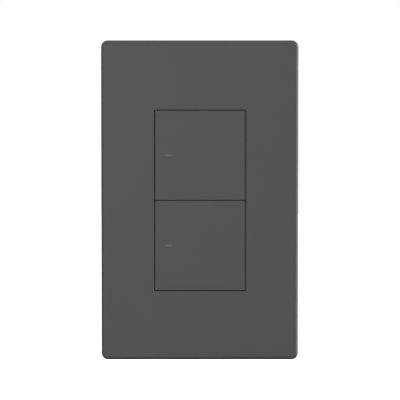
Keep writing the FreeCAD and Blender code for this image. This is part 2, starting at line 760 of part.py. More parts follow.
def make_board_connector():
    """A pin strip on the power board and the socket it plugs into."""
    pins = Piece("board_pins")
    place_z = about(header_z, header_half)
    pins.box(about(header_x, header.base), (power.front - header.base_depth,
                                            power.front), place_z)
    for number in range(int(header.pins.number)):
        step = header.pitch * (number + 0.5) - header_half
        pins.box(about(header_x, header.pin), (board_back + header.socket_floor
                                               + header.pin_gap, power.front),
                 about(header_z + step, header.pin))
    socket = Piece("board_socket")
    socket_y = (board_back, board_back + header.socket_depth)
    socket.box(about(header_x, header.base), socket_y, place_z)
    socket.box(about(header_x, header.pin + header.pin_gap),
               (board_back + header.socket_floor, socket_y[1]),
               about(header_z, header_half - header.pin_clear), cut=True)


def make_control_parts():
    """The radio module and the controller on the back of the control board."""
    parts = sizes("control", radio_width=16.0, radio_height=20.0, radio_depth=2.6,
                  radio_drop=12.0, can_inset=1.0, can_depth=1.8, can_end=5.0, chip_side=7.0,
                  chip_depth=1.0, chip_across=7.0, chip_drop=20.0)
    radio_z = board_z - parts.radio_drop
    radio = chip("radio_module", parts.radio_width, parts.radio_height,
                 parts.radio_depth - parts.can_depth, (0, radio_z), board_back)
    radio.box(about(sized(0), parts.radio_width / 2 - parts.can_inset),
              (board_back + parts.radio_depth - parts.can_depth,
               board_back + parts.radio_depth),
              (radio_z - parts.radio_height / 2 + parts.can_inset,
               radio_z + parts.can_end))
    chip("microcontroller", parts.chip_side, parts.chip_side, parts.chip_depth,
         (-parts.chip_across, parts.chip_drop - board_z), board_back)


# ---------------------------------------------------------------- mains side

def make_insulating_partition():
    """The sheet that keeps the mains side apart from the low-voltage side."""
    piece = Piece("insulating_partition")
    depth = (sheet_wall.front, partition_back)
    piece.slab(2 * (inner_x - sheet_wall.gap), 2 * (inner_z - sheet_wall.gap), depth,
               board.corner)
    for across in (-1, 1):
        for up in (-1, 1):
            piece.rod("Y", depth, (across * column_x, up * column_z),
                      column.radius + sheet_wall.column_gap, cut=True)
            reach = column.radius + sheet_wall.column_gap
            piece.box(ordered(across, column_x, inner_x), depth,
                      ordered(up, column_z - reach, inner_z), cut=True)
            piece.box(ordered(across, column_x - reach, inner_x), depth,
                      ordered(up, column_z, inner_z), cut=True)
    piece.box(about(header_x, sheet_wall.slot_width / 2), depth,
              about(header_z, sheet_wall.slot_height / 2), cut=True)


def make_power_board():
    """The mains board, resting on the housing's ribs."""
    piece = Piece("power_board")
    piece.slab(2 * board_x, 2 * board_z, (power.front, power_back), board.corner)
    for across in (-1, 1):
        for up in (-1, 1):
            span = ordered(across, contact_inner - clamp.tail_gap,
                           contact_outer + clamp.tail_gap)
            piece.box(span, (power.front, power_back),
                      about(up * block.offset, clamp.tail / 2 + clamp.tail_gap),
                      cut=True)


def make_relay(name, side):
    """A sealed relay on the power board, with the step of its cover over its base."""
    piece = Piece(f"relay_{name}")
    outer = board_z - relay.inset
    piece.box((-relay.width / 2, relay.width / 2), (power_back, power_back + relay.depth),
              ordered(side, outer - relay.height, outer))
    piece.soften("Fillet", relay.edge, lambda box: along("Y")(box)
                 or flat("Y", power_back + relay.depth)(box))
    step = relay.skirt
    for x in ((-relay.width / 2, -relay.width / 2 + step),
              (relay.width / 2 - step, relay.width / 2)):
        piece.box(x, (power_back, power_back + relay.skirt_depth),
                  ordered(side, outer - relay.height, outer), cut=True)


def make_transformer():
    """The mains transformer: ferrite core, bobbin and winding."""
    sort = coil_box
    middle = power_back + sort.rise
    core = Piece("transformer_core")
    depth = about(middle, sort.core_depth / 2)
    core.box((-sort.core_width / 2, sort.core_width / 2), depth,
             (-sort.core_height / 2, sort.core_height / 2))
    for side in (-1, 1):
        core.box(ordered(side, sort.leg / 2, sort.leg / 2 + sort.window), depth,
                 (-sort.window_height / 2, sort.window_height / 2), cut=True)
    hole_x = sort.leg / 2 + sort.tube_gap
    hole_y = sort.core_depth / 2 + sort.tube_gap
    tube_x, tube_y = hole_x + sort.tube_wall, hole_y + sort.tube_wall
    half_z = sort.window_height / 2 - sort.flange_gap
    wide_x = sort.leg / 2 + sort.window - sort.flange_gap
    bobbin = Piece("transformer_bobbin")
    bobbin.box((-tube_x, tube_x), about(middle, tube_y), (-half_z, half_z))
    for side in (-1, 1):
        bobbin.box((-wide_x, wide_x), about(middle, sort.flange_height),
                   ordered(side, half_z - sort.flange, half_z))
        bobbin.box(ordered(side, wide_x - sort.foot, wide_x),
                   (power_back, middle - sort.flange_height + sort.flange),
                   (half_z - sort.flange, half_z))
        bobbin.box(ordered(side, wide_x - sort.foot, wide_x),
                   (power_back, middle - sort.flange_height + sort.flange),
                   (-half_z, sort.flange - half_z))
    bobbin.box((-hole_x, hole_x), about(middle, hole_y), (-half_z, half_z), cut=True)
    winding = Piece("transformer_winding")
    long_z = half_z - sort.flange
    winding.box(about(sized(0), wide_x - sort.winding_trim),
                about(middle, sort.flange_height - sort.winding_trim),
                (-long_z, long_z))
    winding.soften("Fillet", sort.winding_round, along("Z"))
    winding.box((-tube_x, tube_x), about(middle, tube_y), (-long_z, long_z), cut=True)


def make_mains_parts():
    """The filter, fuse and supply parts on the front of the power board."""
    parts = sizes("mains", film_width=13.0, film_height=6.0, film_depth=6.4,
                  film_across=5.0, film_up=9.0, disc=3.4, disc_depth=2.6,
                  disc_across=9.0, disc_up=10.0, disc_round=0.85, fuse=1.6, fuse_length=9.0,
                  fuse_cap=0.15, fuse_cap_length=1.6, fuse_across=2.0, fuse_up=0.0,
                  choke=3.6, choke_waist=2.9, choke_depth=6.0, choke_lip=1.0,
                  choke_across=12.0, choke_up=0.0, bridge_width=6.4,
                  bridge_height=4.8, bridge_depth=2.3, bridge_across=0.0,
                  bridge_up=8.0, can=3.2, can_length=12.0, can_across=8.0,
                  can_up=15.0, small=2.5, small_depth=6.2, small_across=9.0,
                  small_up=18.0, edge=0.4)
    seat = power.front
    film = chip("suppression_capacitor", parts.film_width, parts.film_height,
                parts.film_depth, (-parts.film_across, parts.film_up), seat, -1)
    film.soften("Chamfer", parts.edge, flat("Y", seat - parts.film_depth))
    varistor = Piece("varistor")
    varistor.rod("Y", (seat - parts.disc_depth, seat),
                 (parts.disc_across, parts.disc_up), parts.disc)
    varistor.soften("Fillet", parts.disc_round, flat("Y", seat - parts.disc_depth))
    fuse = Piece("fuse")
    radius = parts.fuse + parts.fuse_cap
    line = (seat - radius, parts.fuse_up)
    ends = about(parts.fuse_across, parts.fuse_length / 2)
    fuse.rod("X", ends, line, parts.fuse)
    fuse.rod("X", (ends[0], ends[0] + parts.fuse_cap_length), line, radius)
    fuse.rod("X", (ends[1] - parts.fuse_cap_length, ends[1]), line, radius)
    choke = Piece("choke")
    spot = (-parts.choke_across, parts.choke_up)
    low, high = seat - parts.choke_depth, seat
    choke.rod("Y", (low, high), spot, parts.choke_waist)
    choke.rod("Y", (low, low + parts.choke_lip), spot, parts.choke)
    choke.rod("Y", (high - parts.choke_lip, high), spot, parts.choke)
    bridge = chip("bridge_rectifier", parts.bridge_width, parts.bridge_height,
                  parts.bridge_depth, (parts.bridge_across, -parts.bridge_up), seat, -1)
    bridge.soften("Chamfer", parts.edge, flat("Y", seat - parts.bridge_depth))
    can = Piece("reservoir_capacitor")
    can.rod("X", about(-parts.can_across, parts.can_length / 2),
            (seat - parts.can, -parts.can_up), parts.can)
    can.soften("Fillet", parts.edge,
               flat("X", -parts.can_across - parts.can_length / 2))
    small = Piece("output_capacitor")
    small.rod("Y", (seat - parts.small_depth, seat),
              (-parts.small_across, parts.small_up), parts.small)
    small.soften("Fillet", parts.edge, flat("Y", seat - parts.small_depth))


# ---------------------------------------------------------------- wire terminals

TERMINALS = {"line": (-1, 1), "neutral": (1, 1), "load_1": (-1, -1), "load_2": (1, -1)}


def cavity_y():
    """The span on Y of the hollow in a terminal block."""
    return (power_back + block.wall, house.depth - block.back)


def screw_place(up):
    """The place on Y and Z of a terminal's screw."""
    return (cavity_y()[0] + clamp.screw_forward, up * block.offset)


def make_terminal(name, across, up):
    """One wire terminal: a block open at the side, with a brass contact inside."""
    piece = Piece(f"terminal_block_{name}")
    middle = up * block.offset
    depth = (power_back, house.depth)
    piece.box(ordered(across, block_inner, house_x), depth, about(middle, block.height / 2))
    piece.soften("Fillet", block.edge, along("Y"))
    hollow = ordered(across, contact_inner, house_x)
    piece.box(hollow, cavity_y(), about(middle, block.height / 2 - block.wall), cut=True)
    wire_x = across * (contact_outer + clamp.gap / 2)
    wire_z = up * (block.offset + wire.offset)
    piece.rod("Y", (cavity_y()[1], house.depth), (wire_x, wire_z), wire.bore, cut=True)
    piece.box(ordered(across, contact_inner, contact_outer), (power_back, cavity_y()[0]),
              about(middle, clamp.tail / 2 + clamp.tail_gap), cut=True)
    piece.rod("X", ordered(across, block_inner + block.relief_gap, contact_inner),
              screw_place(up), clamp.screw + clamp.screw_gap, cut=True)
    contact = Piece(f"contact_{name}")
    low, high = cavity_y()
    contact.box(ordered(across, contact_inner, contact_outer), (low, high - clamp.end_gap),
                about(middle, block.height / 2 - block.wall - clamp.end_gap))
    contact.box(ordered(across, contact_inner, contact_outer),
                (power.front - clamp.tail_through, low), about(middle, clamp.tail / 2))
    contact.rod("X", ordered(across, contact_inner, contact_outer), screw_place(up),
                clamp.screw + clamp.screw_gap, cut=True)


def make_clamp_plates():
    """Four square washers that press the wires onto the contacts."""
    piece = Piece("clamp_plates")
    start = contact_outer + clamp.gap
    low, high = cavity_y()
    for across, up in TERMINALS.values():
        span = ordered(across, start, start + clamp.plate)
        piece.box(span, (low + clamp.end_gap, high - clamp.end_gap),
                  about(up * block.offset,
                        block.height / 2 - block.wall - clamp.end_gap))
        piece.rod("X", span, screw_place(up), clamp.screw + clamp.screw_gap, cut=True)


def make_terminal_screws():
    """Four screws that draw the clamp plates down."""
    piece = Piece("terminal_screws")
    seat = contact_outer + clamp.gap + clamp.plate
    tip = contact_inner - clamp.tip
    for across, up in TERMINALS.values():
        place = screw_place(up)
        piece.rod("X", ordered(across, tip, seat), place, clamp.screw)
        piece.rod("X", ordered(across, seat, seat + clamp.head_depth), place, clamp.head)
        face = across * (seat + clamp.head_depth)
        piece.screw_slot("X", face, place, clamp.slot / 2, clamp.head,
                         -across * clamp.slot_depth)


# ---------------------------------------------------------------- housing

def make_rear_housing():
    """The deep shell that closes the back, with columns, ribs and terminal notches."""
    piece = Piece("rear_housing")
    piece.slab(2 * house_x, 2 * house_z, (0, house.depth), house.corner)
    piece.slab(2 * inner_x, 2 * inner_z, (0, house_back), house.corner - house.wall,
               cut=True)
    for across in (-1, 1):
        for up in (-1, 1):
            place = (across * column_x, up * column_z)
            piece.rod("Y", (frame.flange + column.gap, house_back), place,
                      column.radius)
            piece.box(ordered(across, inner_x - support.sheet_lap, inner_x),
                      (partition_back, house_back),
                      about(up * support.offset, support.height / 2))
            piece.box(ordered(across, board_x - support.board_lap, inner_x),
                      (power_back, house_back),
                      about(up * support.offset, support.height / 2))
    for across in (-1, 1):
        for up in (-1, 1):
            place = (across * column_x, up * column_z)
            piece.rod("Y", (frame.flange + column.gap, house.depth), place,
                      house_screw.radius + house_screw.sleeve, cut=True)
            piece.rod("Y", (house.depth - house_screw.sink, house.depth), place,
                      house_screw.head + house_screw.sink_gap, cut=True)
            piece.box(ordered(across, block_inner - block.gap, house_x),
                      (power_back - block.gap, house.depth),
                      about(up * block.offset, block.height / 2 + block.gap), cut=True)


def make_housing_screws():
    """Four long screws from the back of the housing into the strap."""
    piece = Piece("housing_screws")
    shoulder = house.depth - house_screw.sink
    face = shoulder + house_screw.head_depth
    for across in (-1, 1):
        for up in (-1, 1):
            place = (across * column_x, up * column_z)
            piece.rod("Y", (yoke_front + house_screw.short, shoulder), place,
                      house_screw.radius)
            piece.rod("Y", (shoulder, face), place, house_screw.head)
            for half in ((house_screw.cross / 2, house_screw.cross_length / 2),
                         (house_screw.cross_length / 2, house_screw.cross / 2)):
                piece.screw_slot("Y", face, place, *half, -house_screw.cross_depth)


# ---------------------------------------------------------------- assembly and export

make_wall_plate()
make_sub_plate()
make_plate_screws()
make_yoke()
make_ground_screw()
make_mounting_screws()
make_screw_retainers()
make_button_frame()
for name, side in SIDES.items():
    make_button(name, side)
    make_light_pipe(name, side)
    for spot, up in SPOTS.items():
        make_return_spring(name, side, spot, up)
    make_tact_switch(name, side)
    make_tact_plunger(name, side)
    make_status_led(name, side)
    make_relay(name, side)
make_control_board()
make_board_connector()
make_control_parts()
make_insulating_partition()
make_power_board()
make_transformer()
make_mains_parts()
for name, (across, up) in TERMINALS.items():
    make_terminal(name, across, up)
make_clamp_plates()
make_terminal_screws()
make_rear_housing()
make_housing_screws()
doc.recompute()

for item in doc.Objects:
    if "Invalid" in item.State or "Error" in item.State:
        raise RuntimeError(f"{item.Name} is in state {item.State}")
os.makedirs("parts", exist_ok=True)
for body in PIECES:
    if body.Shape.isNull() or not body.Shape.isValid():
        raise RuntimeError(f"{body.Label} has no valid shape")
    body.Shape.exportStep(os.path.join("parts", f"{body.Label}.step"))
    solids = len(body.Shape.Solids)
    print(f"{body.Label}: {solids} solid, {body.Shape.Volume:.1f} mm3")
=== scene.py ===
# %% [markdown]
# # A flush wall switch with two square keys
# The switch was drawn as exact parts first, and those parts are loaded here as a fixed
# frame. This lesson gives them their finishes, replaces the screws and springs with
# finer shapes, and sets up a small studio. The scene is in metres, and a size typed in
# millimetres is converted where it is used. +X is to the right as seen from the room,
# +Y goes into the wall and +Z is up.

import json
import math

import bmesh
import bpy
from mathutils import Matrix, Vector


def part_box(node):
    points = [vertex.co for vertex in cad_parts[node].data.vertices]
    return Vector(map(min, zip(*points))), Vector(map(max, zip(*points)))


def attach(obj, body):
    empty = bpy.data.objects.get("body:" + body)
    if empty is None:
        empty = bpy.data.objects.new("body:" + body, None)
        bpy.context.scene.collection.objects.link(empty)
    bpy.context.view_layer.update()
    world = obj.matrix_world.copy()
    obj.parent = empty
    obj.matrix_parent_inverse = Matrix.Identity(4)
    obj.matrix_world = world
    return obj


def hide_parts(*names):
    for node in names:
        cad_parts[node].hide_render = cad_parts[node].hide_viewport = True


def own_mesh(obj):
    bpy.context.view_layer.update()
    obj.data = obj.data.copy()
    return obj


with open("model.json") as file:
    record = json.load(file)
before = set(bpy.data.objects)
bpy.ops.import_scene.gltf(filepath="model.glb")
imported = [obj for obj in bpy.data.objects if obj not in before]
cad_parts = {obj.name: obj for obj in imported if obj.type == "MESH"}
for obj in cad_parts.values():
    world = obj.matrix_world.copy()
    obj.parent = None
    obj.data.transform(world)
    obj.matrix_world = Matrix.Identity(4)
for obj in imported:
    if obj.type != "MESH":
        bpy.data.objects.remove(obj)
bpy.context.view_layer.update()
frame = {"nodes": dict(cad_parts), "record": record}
nodes = frame["nodes"]
scene = bpy.context.scene
MM = 0.001
print("pieces in the frame:", len(nodes))

# %% [markdown]
# Colours are written as they are picked on screen, in sRGB hex. Blender's shaders want
# linear light, so one function does that step for every colour in the lesson.

# %% Colours
def linear(hex_colour):
    """An sRGB hex colour such as "#585858" as linear red, green, blue and alpha."""
    parts = [int(hex_colour[place:place + 2], 16) / 255 for place in (1, 3, 5)]
    bent = [c / 12.92 if c <= 0.04045 else ((c + 0.055) / 1.055) ** 2.4 for c in parts]
    return (*bent, 1.0)


print("mid grey is", [round(c, 3) for c in linear("#585858")])

# %% [markdown]
# Every material and every Geometry Nodes tree is wired by this one helper. It adds a
# node, sets its options, and fills its inputs: a socket is linked, a value is typed in.

# %% The node helper
def add(tree, kind, inputs=None, **options):
    """A new node with its options set and its inputs linked or filled."""
    node = tree.nodes.new(kind)
    for option, value in options.items():
        setattr(node, option, value)
    for name, value in (inputs or {}).items():
        target = node.inputs[name]
        if isinstance(value, bpy.types.NodeSocket):
            tree.links.new(value, target)
        else:
            target.default_value = value
    return node


print("one helper adds every node:", add.__name__)

# %% [markdown]
# The camera stands almost straight in front of the plate and looks down a little. The
# long lens keeps the plate's sides nearly parallel, as a real tripod shot would.

# %% Camera
LOOK_DOWN = math.radians(2.4)
DISTANCE = 0.78
SEEN_WIDTH = 150.1 * MM
SENSOR = 36.0
front_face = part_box("wall_plate")[0].y
aim = Vector((0.08 * MM, front_face, 0.19 * MM))

lens = bpy.data.cameras.new("studio_camera")
lens.sensor_width = SENSOR
lens.lens = SENSOR * DISTANCE / SEEN_WIDTH
lens.clip_start = 0.01
lens.clip_end = 50.0
camera = bpy.data.objects.new("studio_camera", lens)
away = Vector((0, -math.cos(LOOK_DOWN), math.sin(LOOK_DOWN)))
camera.location = aim + away * DISTANCE
camera.rotation_euler = (-away).to_track_quat("-Z", "Y").to_euler()
scene.collection.objects.link(camera)
scene.camera = camera
print("focal length in mm:", round(lens.lens, 1))

# %% [markdown]
# The studio is a white room. Its backdrop could be a big lit wall, but a world shader is
# simpler. It looks white to the camera and gives only a little light itself, a bit more
# from above, so the soft boxes decide how the edges of the dark plastic show up.

# %% Backdrop
FILL_BELOW, FILL_ABOVE = 0.28, 0.76
FILL_REACH = 0.6
scene.view_settings.view_transform = "Standard"

world = bpy.data.worlds.new("white_room")
world.use_nodes = True
tree = world.node_tree
tree.nodes.clear()
ray = add(tree, "ShaderNodeLightPath")
seen = add(tree, "ShaderNodeBackground", {"Color": linear("#ffffff"), "Strength": 1.0})
heading = add(tree, "ShaderNodeSeparateXYZ", {
    "Vector": add(tree, "ShaderNodeTexCoord").outputs["Generated"]})
sky = add(tree, "ShaderNodeMapRange", {
    "Value": heading.outputs["Z"], "From Min": -FILL_REACH, "From Max": FILL_REACH,
    "To Min": FILL_BELOW, "To Max": FILL_ABOVE})
given = add(tree, "ShaderNodeBackground", {
    "Color": linear("#f4f5f6"), "Strength": sky.outputs["Result"]})
mixed = add(tree, "ShaderNodeMixShader", {
    "Fac": ray.outputs["Is Camera Ray"], 1: given.outputs["Background"],
    2: seen.outputs["Background"]})
add(tree, "ShaderNodeOutputWorld", {"Surface": mixed.outputs["Shader"]})
scene.world = world
print("backdrop fill from", FILL_BELOW, "below to", FILL_ABOVE, "above")

# %% [markdown]
# A pale floor lies well below the switch. It must not throw light up onto the plate, so
# diffuse and glossy rays don't see it, and a little glow of its own keeps it pale.

# %% Floor
FLOOR_DROP = 0.30
FLOOR_SIZE = 12.0
FLOOR_GLOW = 0.75

floor_mesh = bpy.data.meshes.new("floor")
half = FLOOR_SIZE / 2
floor_mesh.from_pydata([(-half, -half, -FLOOR_DROP), (half, -half, -FLOOR_DROP),
                        (half, half, -FLOOR_DROP), (-half, half, -FLOOR_DROP)],
                       [], [(0, 1, 2, 3)])
floor = bpy.data.objects.new("floor", floor_mesh)
scene.collection.objects.link(floor)
paint = bpy.data.materials.new("white_studio_floor")
paint.use_nodes = True
tree = paint.node_tree
tree.nodes.clear()
speckle = add(tree, "ShaderNodeTexNoise", {"Scale": 2.0, "Detail": 3.0})
tone = add(tree, "ShaderNodeValToRGB", {"Fac": speckle.outputs["Fac"]})
tone.color_ramp.elements[0].color = linear("#fafafa")
tone.color_ramp.elements[1].color = linear("#ffffff")
shader = add(tree, "ShaderNodeBsdfPrincipled", {
    "Base Color": tone.outputs["Color"], "Roughness": 0.9,
    "Emission Color": linear("#ffffff"), "Emission Strength": FLOOR_GLOW})
add(tree, "ShaderNodeOutputMaterial", {"Surface": shader.outputs["BSDF"]})
floor_mesh.materials.append(paint)
floor.visible_diffuse = False
floor.visible_glossy = False
print("floor lies", FLOOR_DROP, "m below the middle of the plate")

# %% [markdown]
# Seven soft boxes stand round the switch. The ones at the near left make the face a
# little brighter on that side, the one at the right draws the bright line along the
# plate's right edge, and the rear ones show the housing in the views from behind.

# %% Soft boxes
SOFT_BOXES = [
    # name, place, width, height, power
    ("near_left_box", (-0.42, -0.62, 0.03), 0.35, 0.45, 0.95),
    ("small_front_box", (-0.09, -0.62, 0.0), 0.12, 0.12, 0.16),
    ("front_box", (-0.2, -1.6, 0.15), 1.2, 1.0, 4.1),
    ("right_box", (1.3, -0.22, 0.25), 0.4, 1.2, 23.0),
    ("top_box", (0.1, -0.15, 1.4), 1.0, 0.4, 2.0),
    ("rear_left_box", (-0.7, 1.5, 0.7), 1.2, 1.2, 14.0),
    ("rear_right_box", (1.1, 1.1, 0.2), 0.8, 1.2, 8.0),
]
for name, place, width, height, power in SOFT_BOXES:
    light = bpy.data.lights.new(name, "AREA")
    light.shape = "RECTANGLE"
    light.size, light.size_y = width, height
    light.energy = power
    stand = bpy.data.objects.new(name, light)
    stand.location = place
    stand.rotation_euler = (-Vector(place)).to_track_quat("-Z", "Y").to_euler()
    scene.collection.objects.link(stand)

# %% [markdown]
# Every finish shows three things: its colours, its sheen and its relief. One helper
# starts a material with its surface shader, and one wires those three from patterns.
# Pattern sizes are worked out from real millimetres, since the switch is in metres.

# %% Material helpers
def per_metre(size_mm):
    """How many times a pattern of this size in millimetres fits in one metre."""
    return 1000.0 / size_mm


def start_finish(name, **values):
    """A new material, its tree, its Principled surface and its object coordinates."""
    material = bpy.data.materials.new(name)
    material.use_nodes = True
    tree = material.node_tree
    tree.nodes.clear()
    place = add(tree, "ShaderNodeTexCoord")
    surface = add(tree, "ShaderNodeBsdfPrincipled")
    for socket, value in values.items():
        surface.inputs[socket.replace("_", " ")].default_value = value
    add(tree, "ShaderNodeOutputMaterial", {"Surface": surface.outputs["BSDF"]})
    return material, tree, surface, place.outputs["Object"]


print("a 2 mm pattern repeats", per_metre(2), "times in a metre")

# %% [markdown]
# The second helper takes the patterns that a finish has made, and joins each of them to
# what it drives. Every finish below ends with it, so they differ only in their patterns.

# %% Colours, sheen and relief
def wire_finish(tree, surface, colour, sheen, relief):
    """Wire a surface's colours, sheen and relief.

    colour is a pattern, its dark and light hex colours, and where the change starts and
    stops. sheen is a pattern with its roughness at 0 and at 1. relief is a pattern and
    its depth in millimetres.
    """
    pattern, dark, light, start, stop = colour
    ramp = add(tree, "ShaderNodeValToRGB", {"Fac": pattern})
    for element, spot, hex_colour in zip(ramp.color_ramp.elements, (start, stop),
                                         (dark, light)):
        element.position = spot
        element.color = linear(hex_colour)
    pattern, at_zero, at_one = sheen
    rough = add(tree, "ShaderNodeMapRange", {
        "Value": pattern, "To Min": at_zero, "To Max": at_one})
    pattern, depth_mm = relief
    bump = add(tree, "ShaderNodeBump", {"Height": pattern, "Distance": depth_mm * MM})
    for output, socket in ((ramp.outputs["Color"], "Base Color"),
                           (rough.outputs["Result"], "Roughness"),
                           (bump.outputs["Normal"], "Normal")):
        tree.links.new(output, surface.inputs[socket])


SOFT_START, SOFT_STOP = 0.3, 0.7
NOISE_ROUGHNESS = 0.55
finishes = {}
print("plain finishes change colour from", SOFT_START, "to", SOFT_STOP)

# %% [markdown]
# ## Moulded plastics
# Most of the switch is injection moulded. The mould's steel is spark eroded, which
# leaves a fine even grain, and the melt leaves a very faint mottle as it flows. One
# function makes them all, from a pair of near colours, a sheen and a grain size.

# %% Moulded plastics
SHEEN_SPREAD = 0.05


def moulded(name, dark, light, sheen, grain_mm, depth_mm, ior, mottle_mm=14.0):
    """A moulded plastic: faint flow mottling and a spark-eroded skin."""
    material, tree, surface, place = start_finish(name, IOR=ior)
    mottle = add(tree, "ShaderNodeTexNoise", {
        "Vector": place, "Scale": per_metre(mottle_mm), "Detail": 2.0,
        "Roughness": NOISE_ROUGHNESS}).outputs["Fac"]
    skin = add(tree, "ShaderNodeTexNoise", {
        "Vector": place, "Scale": per_metre(grain_mm), "Detail": 4.0,
        "Roughness": NOISE_ROUGHNESS}).outputs["Fac"]
    wire_finish(tree, surface, (mottle, dark, light, SOFT_START, SOFT_STOP),
                (skin, sheen - SHEEN_SPREAD, sheen + SHEEN_SPREAD), (skin, depth_mm))
    return material


print("sheen varies by", SHEEN_SPREAD, "either way")

# %% [markdown]
# Each plastic of the switch is one row of a table. The typical refractive index of its
# resin comes last but one, and a grain finer than the eye can see is drawn a little
# coarser than life, so that it still breaks up the reflections.

# %% The plastics
# name, dark, light, sheen, grain mm, depth mm, IOR, mottle mm
MOULDED = {
    # Polycarbonate cover: satin, neutral dark grey, grain just too fine to pick out.
    "grey_cover_plastic": ("moulded_polycarbonate_cover", "#363636", "#383838",
                           0.50, 0.5, 0.003, 1.58),
    # ABS keys: the same grey, a touch smoother where fingers polish them.
    "grey_key_plastic": ("moulded_abs_keys", "#393939", "#3b3b3b",
                         0.48, 0.5, 0.003, 1.54),
    # Glass-filled nylon inner plate: black, with a coarser, drier skin.
    "black_plastic": ("moulded_glass_filled_nylon", "#171718", "#1d1d1f",
                      0.55, 0.9, 0.012, 1.53),
    # Polyester housing: charcoal, an even leather-like eroded grain that hides marks.
    "housing_plastic": ("moulded_polyester_housing", "#26272a", "#2c2d30",
                        0.52, 0.8, 0.020, 1.57),
    # Nylon terminal blocks: lighter warm grey, slightly waxy.
    "terminal_plastic": ("moulded_nylon_terminals", "#5c5c5a", "#686865",
                         0.45, 0.7, 0.010, 1.53, 6.0),
    # Polyester connector strips: deep black and quite smooth.
    "connector_black": ("moulded_polyester_connector", "#101011", "#161617",
                        0.38, 0.5, 0.005, 1.57, 4.0),
    # Epoxy moulding compound of chips: dull, with sand-like silica grains.
    "chip_epoxy": ("moulded_epoxy_chip", "#141516", "#232426",
                   0.62, 0.25, 0.010, 1.55, 0.6),
    # Acetal plungers: ivory and slippery.
    "plunger_plastic": ("moulded_acetal_plunger", "#cfc9b8", "#d9d4c5",
                        0.30, 0.6, 0.004, 1.48, 3.0),
    # Sealed relay covers: smooth blue polyester.
    "relay_case": ("moulded_polyester_relay", "#1d4a86", "#235394",
                   0.35, 0.9, 0.004, 1.57, 8.0),
    # Film capacitor box: yellow polyester, glossy from a polished mould.
    "film_case": ("moulded_polyester_capacitor_box", "#c99a1e", "#d3a62b",
                  0.28, 1.2, 0.006, 1.57, 5.0),
}
finishes |= {slot: moulded(*recipe) for slot, recipe in MOULDED.items()}
print("moulded plastics:", len(finishes))

# %% [markdown]
# ## Metals
# Zinc plating grows in small patches that catch the light one by one, so its roughness
# follows cells about a millimetre across, and its relief is a finer noise of pits.

# %% Plated metals
CLOUD_SHARE, PIT_SHARE = 6, 3


def plated(name, dark, light, patch_mm, low, high, depth_mm):
    """A plated metal: bright and dull patches, fine pits, a faint cloud of colour."""
    material, tree, surface, place = start_finish(name, Metallic=1.0)
    patches = add(tree, "ShaderNodeTexVoronoi", {
        "Vector": place, "Scale": per_metre(patch_mm)}).outputs["Distance"]
    cloud, pits = [add(tree, "ShaderNodeTexNoise", {
        "Vector": place, "Scale": per_metre(size_mm), "Detail": 4.0,
        "Roughness": NOISE_ROUGHNESS}).outputs["Fac"]
        for size_mm in (patch_mm * CLOUD_SHARE, patch_mm / PIT_SHARE)]
    wire_finish(tree, surface, (cloud, dark, light, SOFT_START, SOFT_STOP),
                (patches, low, high), (pits, depth_mm))
    return material


# Zinc-plated steel strap and screws: bluish bright, with a soft patchy lustre.
finishes["zinc_steel"] = plated("zinc_plated_steel", "#b4b8bc", "#c6c9c9",
                                1.1, 0.28, 0.46, 0.004)
# Earth screw: zinc plate dyed green, the code colour for the safety wire.
finishes["green_steel"] = plated("green_dyed_zinc_steel", "#1f6b3a", "#2f8a4c",
                                 0.8, 0.30, 0.45, 0.004)
print("finishes so far:", len(finishes))

# %% [markdown]
# Strip, sheet and wire are pulled through rolls or a die. Their lines run one way, so
# noise is drawn out along the direction that the metal moved in.

# %% Rolled and drawn metals
DRIFT_SHARE = 25


def rolled(name, dark, light, line_mm, stretch, low, high, depth_mm):
    """A rolled or drawn metal: fine lines that run one way, with a slow colour drift."""
    material, tree, surface, place = start_finish(name, Metallic=1.0)
    squeezed = add(tree, "ShaderNodeMapping", {"Vector": place, "Scale": stretch})
    lines = add(tree, "ShaderNodeTexNoise", {
        "Vector": squeezed.outputs["Vector"], "Scale": per_metre(line_mm), "Detail": 5.0,
        "Roughness": NOISE_ROUGHNESS}).outputs["Fac"]
    drift = add(tree, "ShaderNodeTexNoise", {
        "Vector": place, "Scale": per_metre(line_mm * DRIFT_SHARE), "Detail": 2.0,
        "Roughness": NOISE_ROUGHNESS}).outputs["Fac"]
    wire_finish(tree, surface, (drift, dark, light, SOFT_START, SOFT_STOP),
                (lines, low, high), (lines, depth_mm))
    return material


# Brass contacts: rolled strip, lines along the terminal.
finishes["brass"] = rolled("rolled_brass_strip", "#c19a4c", "#cfab5c",
                           0.3, (1.0, 0.08, 1.0), 0.22, 0.40, 0.003)
# Radio shield: tinned steel sheet, cool and nearly white.
finishes["shield_can"] = rolled("rolled_tinned_steel_can", "#b9babb", "#c8c8c6",
                                0.4, (0.08, 1.0, 1.0), 0.26, 0.42, 0.003)
# Return springs: hard drawn wire, with darker die marks.
finishes["spring_steel"] = rolled("drawn_spring_steel_wire", "#8b8d90", "#a6a8aa",
                                  0.15, (1.0, 0.3, 1.0), 0.20, 0.34, 0.002)
# Enamelled copper of the choke: the enamel gives the wire its deep red-brown.
finishes["enamelled_copper"] = rolled("enamelled_copper_wire", "#8c4526", "#a8572f",
                                      0.2, (1.0, 0.2, 1.0), 0.18, 0.30, 0.002)
print("finishes so far:", len(finishes))

# %% [markdown]
# ## Fibre and sheet
# Vulcanised fibre and insulating paper are pressed from plant fibres. Two sets of long
# specks that cross each other show them, and the brighter of the two wins at each spot.

